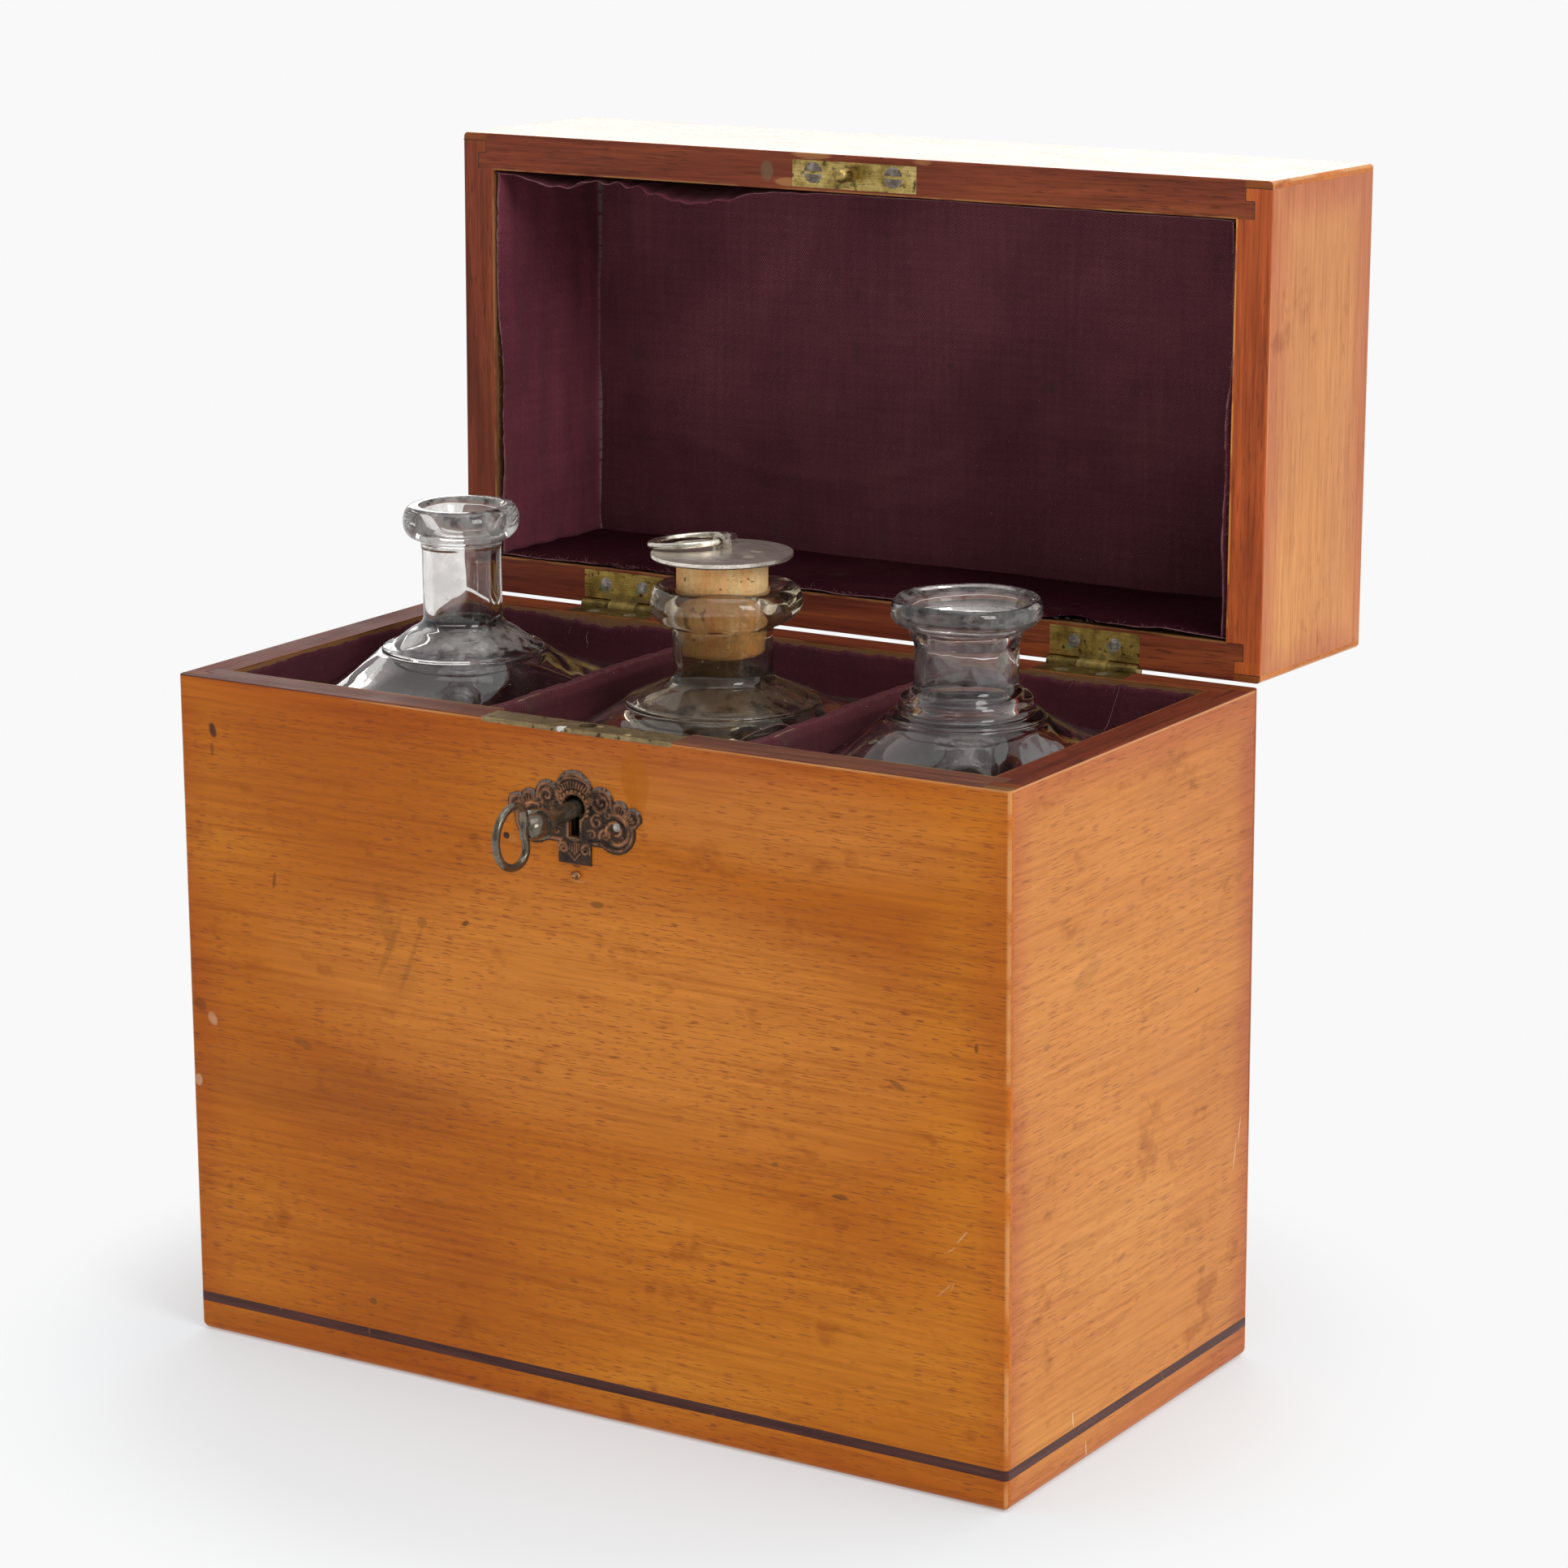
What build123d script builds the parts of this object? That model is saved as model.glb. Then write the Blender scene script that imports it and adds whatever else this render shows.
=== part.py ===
from build123d import *
import os
from math import copysign, sqrt

# Antique tantalus: a wooden case whose lid hinges open on three glass bottles, each in a cloth-lined
# compartment, with a lock in the front wall.
# Millimetres, +Z up, +X to the right, front towards -Y. The origin is the middle of the case's underside.
# The lid and all that is fixed to it are drawn shut, then turned open about the hinge pins.

# Case
WIDTH = 300.0  # over the sides
DEPTH = 154.3  # front to back
BODY_HEIGHT = 217.2
CASE_HEIGHT = 288.6  # with the lid shut
SEAM = 0.3  # gap between the two rims when the lid is shut
WALL = 12.0
BOTTOM = 9.0  # bottom board
BOTTOM_REBATE = 4.0  # how far the bottom board is let into the walls
TOP = 9.5  # lid's top board
TOP_LIP = 1.3  # edge of the top board that covers the walls
ARRIS = 1.5  # worn radius on the case's outer edges
FOOT_ARRIS = 2.4  # round the foot
LID_ARRIS = 1.35  # round the lid's top
RIM_ARRIS = 0.4  # and on the two rims
LID_OPEN = 91.0  # degrees from shut

# Corner joint, measured from a wall's outer face inwards and from the end of the case
LAP = 2.4  # front and back boards cover the side board's end this thick
SIDE_TONGUE = 4.1  # thickness of the tongue on a side board
SIDE_TONGUE_END = 9.0  # its end, from the side's outer face
FRONT_TONGUE_END = 6.0  # end of the front board's inner tongue, from the side's outer face

# Dark line let in round the foot
STRING_Z = 9.7
STRING_WIDTH = 3.2
STRING_DEEP = 1.2

# Cloth lining and dividers
CLOTH = 0.7
CLOTH_BELOW_RIM = 1.0
DIVIDER_CORE = 5.0
DIVIDER_CLOTH = 1.2
DIVIDER_BELOW_RIM = 3.2

# Hinges: two brass butts with round-headed nails
HINGE_X = (-86.0, 92.0)
HINGE_WIDTH = 32.0
LEAF = 1.3  # thickness
LEAF_MARGIN = 0.8  # wood left inside of a leaf
KNUCKLE_R = 2.2
KNUCKLE_GAP = 0.2
PIN_R = 1.0
PIN_PLAY = 0.05
PIN_BEHIND = 0.7  # pin centre behind the back face
LEAF_PLAY = 0.35  # between a leaf and the other leaf's knuckle
NAIL_SPAN = 14.5
NAIL_FROM_BACK = 6.9
NAIL_HEAD_R = 2.1
NAIL_HEAD = 0.8
NAIL_DOME = 0.1
NAIL_R = 0.8
NAIL_LONG = 9.0

# Lock: plate on the rim with a back plate, a cap over the works, a bolt, and a key on a drill pin.
# "In" is measured from the case's front face, "down" from the rim.
KEY_X = 0.8
KEY_DOWN = 24.0
KEY_DROOP = 3.8  # degrees the key hangs down on its loose pin
LOCK_LEFT = -33.0
LOCK_RIGHT = 35.5
LOCK_DOWN = 36.7  # lower edge of the back plate
LOCK_MARGIN = 2.75  # from the back plate to the wall's inner face
RIM_PLATE = 1.5
BACK_PLATE = 1.2
CAP_MARGIN = 4.0  # from the ends of the plate to the cap
CAP_FOOT = 2.0  # from the plate's lower edge to the cap
CAP_IN = 1.95  # wood left in front of the cap
CAP_WALL = 0.8
KEYHOLE_R = 3.8
KEYHOLE_SLOT = 3.6
BIT_R = 8.0  # from the key's axis to the end of its bit
BIT_PLAY = 0.8
BIT_THICK = 2.2
BIT_IN = 3.55  # front of the bit
BIT_WIDE = 3.8
BARREL_R = 2.75
BARREL_BORE_R = 1.7
BARREL_BORE = 13.0
BARREL_END = 0.35  # from the barrel's end to the back plate
DRILL_PIN_R = 1.2
DRILL_PIN_IN = 0.15
COLLAR_OUT = 16.35  # from the case's front face to the collar
COLLAR_LONG = 9.0
COLLAR_R = 4.6
BOW_WIRE_R = 1.25
BOW_DENT_R = 5.2  # the first two radii of the kidney-shaped bow, and how far each turns
BOW_LOBE_R = 4.9
BOW_DENT_TURN = 25.0
BOW_LOBE_TURN = 105.0
BOLT_IN = 4.85
BOLT_THICK = 2.0
BOLT_SHOT = 7.0
BOLT_OVER_BARREL = 3.65  # from the key's barrel to the bolt's lower edge
BOLT_TAIL_DOWN = 11.2
BOLT_TOP_DOWN = 3.8
BOLT_HEAD = 2.4  # height of the part that enters the peg
BOLT_HEAD_X = 5.6
BOLT_TAIL_X = 0.5
BOLT_STEP_X = 13.6
BOLT_END_X = 29.0
TALON_PLAY = 0.4
STUD_X = 18.0
STUD_R = 1.2
STUD_PLAY = 0.3
SPRING = 0.5  # thickness
SPRING_X = (14.0, 26.0)
SPRING_UP = 2.8  # its feet above the cap's lower edge
LOCK_PIN_R = 0.8
LOCK_PIN_LONG = 5.0
LOCK_PIN_MARGIN = 2.0  # from the edges of the back plate

# Striker plate under the lid's front edge
STRIKER_X = (-20.5, 25.5)
STRIKER_IN = 2.25
STRIKER_MARGIN = 1.05  # from the plate to the wall's inner face
STRIKER_PLATE = 1.3
PEG_X = 2.0
PEG_IN = 5.85
PEG_R = 2.3
PEG_PLAY = 0.4
PEG_LONG = 8.8  # below the plate
PEG_RIVET_R = 1.8
PEG_NOSE = 1.8
PEG_FLANGE_R = 3.7
PEG_FLANGE = 0.2
PEG_EYE = (3.0, 3.4)  # across and up
SCREW_X = (-12.8, 16.9)
SCREW_IN = 6.15
SCREW_HEAD_R = 3.4
SCREW_EDGE = 0.2
SCREW_SLOT = 0.9
SCREW_SLOT_DEEP = 1.1
SCREW_R = 1.7
SCREW_LONG = 12.0

# Keyhole escutcheon: a stamped plate, symmetrical about the keyhole, whose edge is a row of lobes
ESCUTCHEON = 0.9
ESCUTCHEON_LOBES = (  # from the middle line, above the key's axis, radius
    (0.0, 4.5, 6.95),
    (9.7, 3.0, 4.5),
    (16.4, 1.0, 3.1),
    (20.9, -1.0, 3.4),
    (14.5, -5.3, 7.4),
)
ESCUTCHEON_TAB = (6.0, -17.4)  # half width, and lower edge above the key's axis
ESCUTCHEON_PIN = (15.9, -3.9)
ESCUTCHEON_PIN_R = 0.7
ESCUTCHEON_PIN_HEAD_R = 1.3
ESCUTCHEON_PIN_HEAD = 0.4
ESCUTCHEON_PIN_LONG = 2.6

# Bottles: oblong in plan, each a little off the middle of its compartment, heights from the case's underside
BOTTLE_SIDE_PLAY = 5.3  # to the compartment's sides, each, when in the middle
BOTTLE_END_PLAY = 4.45
BOTTLE_CORNER = 14.0
BOTTLE_HEEL = 3.0
BOTTLE_GLASS = 4.0  # wall
BOTTLE_BASE = 7.0
BOTTLE_LIFT = 0.1  # above the floor cloth
PUSH_UP = 3.0
PUSH_UP_R = 26.0
DISC_LEDGE = 1.3  # shoulder showing round the disc at the foot of the neck
DISC_EDGE = 1.6  # height of the disc's edge
NECK_COVE = 2.4
SHOULDER_ROUND = 1.4  # how far the shoulder's edge stands in from the side
BOTTLES = {
    "left": dict(off=-1.5, edge_z=203.5, disc_r=26.0, disc_z=218.7, foot_z=224.5, neck_r=12.75, bore_r=9.5,
                 lip_low_z=253.0, lip_mid_z=258.6, lip_top_z=264.0, lip_r=18.6, crest_r=15.0,
                 mouth_r=12.3, funnel=7.0),
    "middle": dict(off=3.8, edge_z=203.0, disc_r=30.5, disc_z=212.7, foot_z=217.6, neck_r=15.7, bore_r=12.95,
                   lip_low_z=236.3, lip_mid_z=242.6, lip_top_z=248.0, lip_r=23.7, crest_r=18.6,
                   mouth_r=14.35, funnel=21.6),
    "right": dict(off=-3.0, edge_z=202.5, disc_r=24.0, disc_z=218.0, foot_z=224.0, neck_r=15.9, bore_r=12.6,
                  lip_low_z=243.0, lip_mid_z=248.8, lip_top_z=251.6, lip_r=22.9, crest_r=20.4,
                  mouth_r=17.0, funnel=8.0),
}

# Stopper of the middle bottle
CORK_PLAY = 0.1
CORK_LOW_Z = 226.8
CAP_DISC_Z = 256.7  # underside of the metal disc
CAP_DISC_R = 22.0
CAP_DISC_RIM = 1.6
CAP_DISC_DOME = 1.3
RING_R = 13.0
RING_WIRE_R = 1.05
RING_AXIS_UP = 1.9  # above the top of the disc
RING_TURN = 168.0  # direction in which the ring lies, from +X
RING_DROOP = 6.0
STAPLE_R = 2.9
STAPLE_HOLE_R = 1.6
STAPLE_WIDE = 2.4
STAPLE_LEG = 12.0

# Worked out from the above
HALF_W = WIDTH / 2
HALF_D = DEPTH / 2
IN_X = HALF_W - WALL
IN_Y = HALF_D - WALL
LID_Z = BODY_HEIGHT + SEAM
FLOOR_Z = BOTTOM + CLOTH
PIN_Y = HALF_D + PIN_BEHIND
PIN_Z = BODY_HEIGHT + SEAM / 2
LEAF_Y = IN_Y + LEAF_MARGIN
DIVIDER = DIVIDER_CORE + 2 * DIVIDER_CLOTH
COMPARTMENT = (2 * (IN_X - CLOTH) - 2 * DIVIDER) / 3
PITCH = COMPARTMENT + DIVIDER
DIVIDER_X = PITCH / 2
BOTTLE_WIDE = COMPARTMENT - 2 * BOTTLE_SIDE_PLAY
BOTTLE_DEEP = 2 * (IN_Y - CLOTH - BOTTLE_END_PLAY)
BOTTLE_X = {"left": -PITCH, "middle": 0.0, "right": PITCH}
KEY_Z = BODY_HEIGHT - KEY_DOWN
LOCK_Z = BODY_HEIGHT - LOCK_DOWN
LOCK_X = (LOCK_LEFT, LOCK_RIGHT)
LOCK_BACK_Y = -IN_Y - LOCK_MARGIN
WORKS_Y = LOCK_BACK_Y - BACK_PLATE
CAP_X = (LOCK_LEFT + CAP_MARGIN, LOCK_RIGHT - CAP_MARGIN)
CAP_Z = (LOCK_Z + CAP_FOOT, BODY_HEIGHT - RIM_PLATE)
CAP_Y = -HALF_D + CAP_IN
KEYHOLE_Z = KEY_Z - BIT_R - BIT_PLAY
BIT_Y = -HALF_D + BIT_IN
BOLT_Y = (-HALF_D + BOLT_IN, -HALF_D + BOLT_IN + BOLT_THICK)
BOLT_Z = (KEY_Z + BARREL_R + BOLT_OVER_BARREL, BODY_HEIGHT - BOLT_TOP_DOWN)
STRIKER_Y = (-HALF_D + STRIKER_IN, -IN_Y - STRIKER_MARGIN)
PEG_Y = -HALF_D + PEG_IN
CAP_DISC_TOP_Z = CAP_DISC_Z + CAP_DISC_RIM + CAP_DISC_DOME


def block(x, y, z):
    """A box given by its two limits along each axis."""
    size = Box(x[1] - x[0], y[1] - y[0], z[1] - z[0])
    return Pos((x[0] + x[1]) / 2, (y[0] + y[1]) / 2, (z[0] + z[1]) / 2) * size


def slab(points, z):
    """A plan outline raised between two heights."""
    return Pos(0, 0, z[0]) * extrude(make_face(Polyline(*points, close=True)), z[1] - z[0])


def turned(*edges):
    """A solid of revolution about Z from a half outline in the XZ plane."""
    return revolve(Plane.XZ * make_face(list(edges)), Axis.Z)


def dome_arc(r, edge_z, top_z):
    """The half outline of a ball's cap, from its edge to its top on the axis."""
    rise = top_z - edge_z
    ball_r = (r ** 2 + rise ** 2) / (2 * rise)
    middle_z = top_z - ball_r + copysign(sqrt(ball_r ** 2 - r ** 2 / 4), rise)
    return ThreePointArc((r, edge_z), (r / 2, middle_z), (0, top_z))


def rod_x(x, y, z, r):
    return Pos((x[0] + x[1]) / 2, y, z) * Rot(0, 90, 0) * Cylinder(r, x[1] - x[0])


def rod_y(x, y, z, r):
    return Pos(x, (y[0] + y[1]) / 2, z) * Rot(90, 0, 0) * Cylinder(r, y[1] - y[0])


def rod_z(x, y, z, r):
    return Pos(x, y, (z[0] + z[1]) / 2) * Cylinder(r, z[1] - z[0])


def opened(shape):
    """Turn what belongs to the lid from shut to its open stand."""
    return shape.rotate(Axis((0, PIN_Y, PIN_Z), (1, 0, 0)), -LID_OPEN)


def cut_from(shape, tools):
    for tool in tools:
        shape -= tool
    return shape


def save(name, *shapes):
    """Write one node: a single solid, or a group of separate ones."""
    solids = [solid for shape in shapes for solid in shape.solids()]
    whole = solids[0] if len(solids) == 1 else Compound(children=solids)
    export_step(whole, f"parts/{name}.step")


# ---------------------------------------------------------------- case

def rounded_case(z, soft_face, soft_r, rim_face):
    """The case's outer form between two heights: upright edges and one face worn round, the rim nearly sharp."""
    form = block((-HALF_W, HALF_W), (-HALF_D, HALF_D), z)
    form = fillet(form.edges().filter_by(Axis.Z), ARRIS)
    form = fillet(form.faces().sort_by(Axis.Z)[soft_face].edges(), soft_r)
    return fillet(form.faces().sort_by(Axis.Z)[rim_face].edges(), RIM_ARRIS)


def long_board(side, z):
    """Front (-1) or back (1) wall: a thin lap out to the corner, a groove, and a tongue inside it."""
    groove_x = HALF_W - SIDE_TONGUE_END
    tongue_x = HALF_W - FRONT_TONGUE_END
    corner = [(HALF_W, 0), (HALF_W, LAP), (groove_x, LAP), (groove_x, LAP + SIDE_TONGUE)]
    corner += [(tongue_x, LAP + SIDE_TONGUE), (tongue_x, WALL)]
    corner += [(-x, deep) for x, deep in reversed(corner)]
    return slab([(x, side * (HALF_D - deep)) for x, deep in corner], z)


def side_board(side, z):
    """Left (-1) or right (1) wall, whose end tongues lock into the long boards' grooves."""
    groove_x = HALF_W - SIDE_TONGUE_END
    tongue_x = HALF_W - FRONT_TONGUE_END
    end = [(IN_X, IN_Y), (tongue_x, IN_Y), (tongue_x, HALF_D - LAP - SIDE_TONGUE)]
    end += [(groove_x, HALF_D - LAP - SIDE_TONGUE), (groove_x, HALF_D - LAP), (HALF_W, HALF_D - LAP)]
    end += [(x, -y) for x, y in reversed(end)]
    return slab([(side * x, y) for x, y in end], z)


def four_walls(z):
    return {
        "front": long_board(-1, z),
        "back": long_board(1, z),
        "left": side_board(-1, z),
        "right": side_board(1, z),
    }


def string_ring():
    """The dark line round the foot: four strips with mitred ends."""
    z = (STRING_Z, STRING_Z + STRING_WIDTH)
    inner_x = HALF_W - STRING_DEEP
    inner_y = HALF_D - STRING_DEEP
    strips = []
    for side in (-1, 1):
        y, y_in, x, x_in = side * HALF_D, side * inner_y, side * HALF_W, side * inner_x
        strips.append(slab([(-HALF_W, y), (HALF_W, y), (inner_x, y_in), (-inner_x, y_in)], z))
        strips.append(slab([(x, -HALF_D), (x, HALF_D), (x_in, inner_y), (x_in, -inner_y)], z))
    return strips


def bottom_board():
    x = IN_X + BOTTOM_REBATE
    y = IN_Y + BOTTOM_REBATE
    return block((-x, x), (-y, y), (0, BOTTOM))


def top_board():
    """The lid's top: its core drops between the walls and a thin lip covers their edges."""
    core = block((-IN_X, IN_X), (-IN_Y, IN_Y), (CASE_HEIGHT - TOP, CASE_HEIGHT))
    lip = block((-HALF_W, HALF_W), (-HALF_D, HALF_D), (CASE_HEIGHT - TOP_LIP, CASE_HEIGHT))
    return core + lip


# ---------------------------------------------------------------- linings

def wall_cloths(z):
    """Four thin cloths on the inside of the walls."""
    x_in = IN_X - CLOTH
    y_in = IN_Y - CLOTH
    return {
        "front": block((-IN_X, IN_X), (-IN_Y, -y_in), z),
        "back": block((-IN_X, IN_X), (y_in, IN_Y), z),
        "left": block((-IN_X, -x_in), (-y_in, y_in), z),
        "right": block((x_in, IN_X), (-y_in, y_in), z),
    }


def divider(x):
    """A thin board and the cloth wrapped over it, rounded on top."""
    y = IN_Y - CLOTH
    top_z = BODY_HEIGHT - DIVIDER_BELOW_RIM
    half_core = DIVIDER_CORE / 2
    half = DIVIDER / 2
    core = block((x - half_core, x + half_core), (-y, y), (FLOOR_Z, top_z - DIVIDER_CLOTH))
    core = fillet(core.edges().filter_by(Axis.Y).group_by(Axis.Z)[-1], half_core * 0.96)
    wrap = block((x - half, x + half), (-y, y), (FLOOR_Z, top_z))
    wrap = fillet(wrap.edges().filter_by(Axis.Y).group_by(Axis.Z)[-1], half * 0.96)
    return core, wrap - core


# ---------------------------------------------------------------- hinges

def nail():
    """A round-headed nail pointing down, its head let into what it holds."""
    outline = Polyline((0, NAIL_DOME), (0, -NAIL_LONG), (NAIL_R, -NAIL_LONG + 2 * NAIL_R), (NAIL_R, -NAIL_HEAD),
                       (NAIL_HEAD_R, 0))
    return turned(outline, dome_arc(NAIL_HEAD_R, 0, NAIL_DOME))


def hinge_nails(x, up):
    """The two nails of one leaf: up is -1 for the lower leaf and 1 for the lid's."""
    y = HALF_D - NAIL_FROM_BACK
    z = BODY_HEIGHT if up < 0 else LID_Z
    spin = Rot(0, 0, 0) if up < 0 else Rot(180, 0, 0)
    return [Pos(x + side * NAIL_SPAN / 2, y, z) * spin * nail() for side in (-1, 1)]


def knuckle_spans(x):
    """Limits along X of a hinge's three knuckles."""
    start = x - HINGE_WIDTH / 2
    third = (HINGE_WIDTH - 2 * KNUCKLE_GAP) / 3
    return [(start + n * (third + KNUCKLE_GAP), start + n * (third + KNUCKLE_GAP) + third) for n in range(3)]


def hinge_leaf(x, z, knuckles):
    """A leaf lying between two heights, with the knuckles that are rolled from it."""
    span = (x - HINGE_WIDTH / 2, x + HINGE_WIDTH / 2)
    leaf = block(span, (LEAF_Y, PIN_Y - KNUCKLE_R - LEAF_PLAY), z)
    for knuckle in knuckles:
        leaf += block(knuckle, (LEAF_Y, PIN_Y), z)
        leaf += rod_x(knuckle, PIN_Y, PIN_Z, KNUCKLE_R)
    return leaf - rod_x(span, PIN_Y, PIN_Z, PIN_R + PIN_PLAY)


def hinge(x):
    """Lower leaf, lid leaf and pin of one hinge, shut."""
    first, second, third = knuckle_spans(x)
    lower = hinge_leaf(x, (BODY_HEIGHT - LEAF, BODY_HEIGHT), (first, third))
    upper = hinge_leaf(x, (LID_Z, LID_Z + LEAF), (second,))
    pin = rod_x((x - HINGE_WIDTH / 2, x + HINGE_WIDTH / 2), PIN_Y, PIN_Z, PIN_R)
    return lower, upper, pin


def hinge_bed(x, z):
    """What is cut from a rim for a leaf and for the knuckles' swing."""
    span = (x - HINGE_WIDTH / 2, x + HINGE_WIDTH / 2)
    bed = block(span, (LEAF_Y, PIN_Y), z)
    return bed + rod_x(span, PIN_Y, PIN_Z, KNUCKLE_R + KNUCKLE_GAP)


# ---------------------------------------------------------------- lock

def plate_outline(points, y):
    """A flat piece standing across Y, from its outline of x and z."""
    return Pos(0, y[1], 0) * extrude(Plane.XZ * make_face(Polyline(*points, close=True)), y[1] - y[0])


def keyhole(y):
    """A round hole over a straight slot, cut through in Y."""
    slot = (KEY_X - KEYHOLE_SLOT / 2, KEY_X + KEYHOLE_SLOT / 2)
    return rod_y(KEY_X, y, KEY_Z, KEYHOLE_R) + block(slot, y, (KEYHOLE_Z, KEY_Z))


def lock_plate():
    """The brass angle that shows on the rim and carries the works, with the way down for the peg."""
    plate = block(LOCK_X, (-HALF_D, LOCK_BACK_Y), (BODY_HEIGHT - RIM_PLATE, BODY_HEIGHT))
    plate += block(LOCK_X, (WORKS_Y, LOCK_BACK_Y), (LOCK_Z, BODY_HEIGHT))
    return plate - rod_z(PEG_X, PEG_Y, (LID_Z - PEG_LONG - PEG_PLAY, BODY_HEIGHT), PEG_R + PEG_PLAY)


def lock_cap():
    """The shallow box over the works, open behind and at the top, with the inner keyhole."""
    cap = block(CAP_X, (CAP_Y, WORKS_Y), CAP_Z)
    room_x = (CAP_X[0] + CAP_WALL, CAP_X[1] - CAP_WALL)
    cap -= block(room_x, (CAP_Y + CAP_WALL, WORKS_Y), (CAP_Z[0] + CAP_WALL, CAP_Z[1]))
    return cap - keyhole((CAP_Y, CAP_Y + CAP_WALL))


def lock_bed():
    """What is cut from the front wall for the lock."""
    bed = block(LOCK_X, (-HALF_D, LOCK_BACK_Y), (BODY_HEIGHT - RIM_PLATE, BODY_HEIGHT))
    bed += block(LOCK_X, (WORKS_Y, -IN_Y), (LOCK_Z, BODY_HEIGHT))
    bed += block(CAP_X, (CAP_Y, -IN_Y), (CAP_Z[0], BODY_HEIGHT))
    return bed


def drill_pin():
    """The fixed pin inside the keyhole that the hollow barrel turns on."""
    return rod_y(KEY_X, (-HALF_D + DRILL_PIN_IN, WORKS_Y), KEY_Z, DRILL_PIN_R)


def bolt_stud():
    """The fixed stud on which the bolt's slot runs."""
    return rod_y(STUD_X, (BOLT_Y[0] - STUD_PLAY, WORKS_Y), sum(BOLT_Z) / 2, STUD_R)


def lock_bolt():
    """The sliding bolt: a head that enters the peg, a slot for the stud and a talon for the key's bit."""
    low_z, top_z = BOLT_Z
    talon_x = KEY_X + BOLT_SHOT - BIT_THICK / 2 - TALON_PLAY
    talon_z = KEY_Z + BIT_R + BIT_PLAY
    tail_z = BODY_HEIGHT - BOLT_TAIL_DOWN
    outline = [(BOLT_TAIL_X, low_z), (talon_x, low_z), (talon_x, talon_z), (BOLT_STEP_X, talon_z)]
    outline += [(BOLT_STEP_X, low_z), (BOLT_END_X, low_z), (BOLT_END_X, top_z), (BOLT_HEAD_X, top_z)]
    outline += [(BOLT_HEAD_X, top_z - BOLT_HEAD), (BOLT_STEP_X, top_z - BOLT_HEAD), (BOLT_STEP_X, tail_z)]
    outline += [(BOLT_TAIL_X, tail_z)]
    r = STUD_R + STUD_PLAY
    middle_z = sum(BOLT_Z) / 2
    slot = block((STUD_X, STUD_X + BOLT_SHOT), BOLT_Y, (middle_z - r, middle_z + r))
    slot += rod_y(STUD_X, BOLT_Y, middle_z, r) + rod_y(STUD_X + BOLT_SHOT, BOLT_Y, middle_z, r)
    return plate_outline(outline, BOLT_Y) - slot


def bolt_spring():
    """A bowed leaf that bears on the bolt from below."""
    low_z = CAP_Z[0] + SPRING_UP
    high_z = BOLT_Z[0] - STUD_PLAY
    left, right = SPRING_X
    middle = (left + right) / 2
    inner = ThreePointArc((left, low_z), (middle, high_z - SPRING), (right, low_z))
    outer = ThreePointArc((left - SPRING, low_z), (middle, high_z), (right + SPRING, low_z))
    feet = [Line((left - SPRING, low_z), (left, low_z)), Line((right, low_z), (right + SPRING, low_z))]
    return Pos(0, BOLT_Y[1], 0) * extrude(Plane.XZ * make_face([inner, outer] + feet), BOLT_THICK)


def lock_pins():
    """Small nails through the lower corners of the back plate into the wall."""
    y = (WORKS_Y - LOCK_PIN_LONG, LOCK_BACK_Y)
    z = LOCK_Z + LOCK_PIN_MARGIN
    return [rod_y(x, y, z, LOCK_PIN_R) for x in (LOCK_LEFT + LOCK_PIN_MARGIN, LOCK_RIGHT - LOCK_PIN_MARGIN)]


def key():
    """A hollow-barrelled key with its bit hanging down, drooping a little on the drill pin."""
    tip_y = WORKS_Y - BARREL_END
    collar_y = -HALF_D - COLLAR_OUT
    barrel = rod_y(KEY_X, (collar_y - COLLAR_LONG / 2, tip_y), KEY_Z, BARREL_R)
    bit = block((KEY_X - BIT_THICK / 2, KEY_X + BIT_THICK / 2), (BIT_Y, BIT_Y + BIT_WIDE), (KEY_Z - BIT_R, KEY_Z))
    whole = barrel + bit + key_collar(collar_y) + key_bow(collar_y - COLLAR_LONG - BOW_WIRE_R)
    whole -= rod_y(KEY_X, (tip_y - BARREL_BORE, tip_y + 1), KEY_Z, BARREL_BORE_R)
    return whole.rotate(Axis((KEY_X, BIT_Y, KEY_Z), (1, 0, 0)), KEY_DROOP)


def key_collar(y):
    """A ring and a rounded boss turned on the end of the barrel, tapering to the bow."""
    ring = COLLAR_LONG * 0.22
    boss_r = COLLAR_R * 0.8
    end = COLLAR_LONG + BOW_WIRE_R
    outline = Polyline((0, end), (0, 0), (COLLAR_R, 0), (COLLAR_R, ring), (boss_r, ring))
    boss = ThreePointArc((boss_r, ring), (COLLAR_R * 0.86, COLLAR_LONG / 2), (BOW_WIRE_R, COLLAR_LONG))
    stem = Polyline((BOW_WIRE_R, COLLAR_LONG), (BOW_WIRE_R, end), (0, end))
    return Pos(KEY_X, y, KEY_Z) * Rot(90, 0, 0) * turned(outline, boss, stem)


def key_bow(y):
    """A round wire bent to a kidney: one dent towards the barrel, two lobes and a wide far curve."""
    dent = JernArc((0, 0), (0, 1), BOW_DENT_R, BOW_DENT_TURN)
    lobe = JernArc(dent @ 1, dent % 1, BOW_LOBE_R, -BOW_LOBE_TURN)
    end, heading = lobe @ 1, lobe % 1
    far = JernArc(end, heading, end.Y / heading.X, BOW_LOBE_TURN - BOW_DENT_TURN - 180.0)
    upper = [dent.edge(), lobe.edge(), far.edge()]
    lower = [mirror(edge, Plane.XZ).edge() for edge in upper]
    section = Plane(origin=(0, 0, 0), z_dir=(0, 1, 0)) * Circle(BOW_WIRE_R)
    outward = Plane(origin=(KEY_X, y, KEY_Z), x_dir=(0, -1, 0), z_dir=(1, 0, 0))
    return outward * sweep(section, Wire(upper + lower))


# ---------------------------------------------------------------- striker

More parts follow.
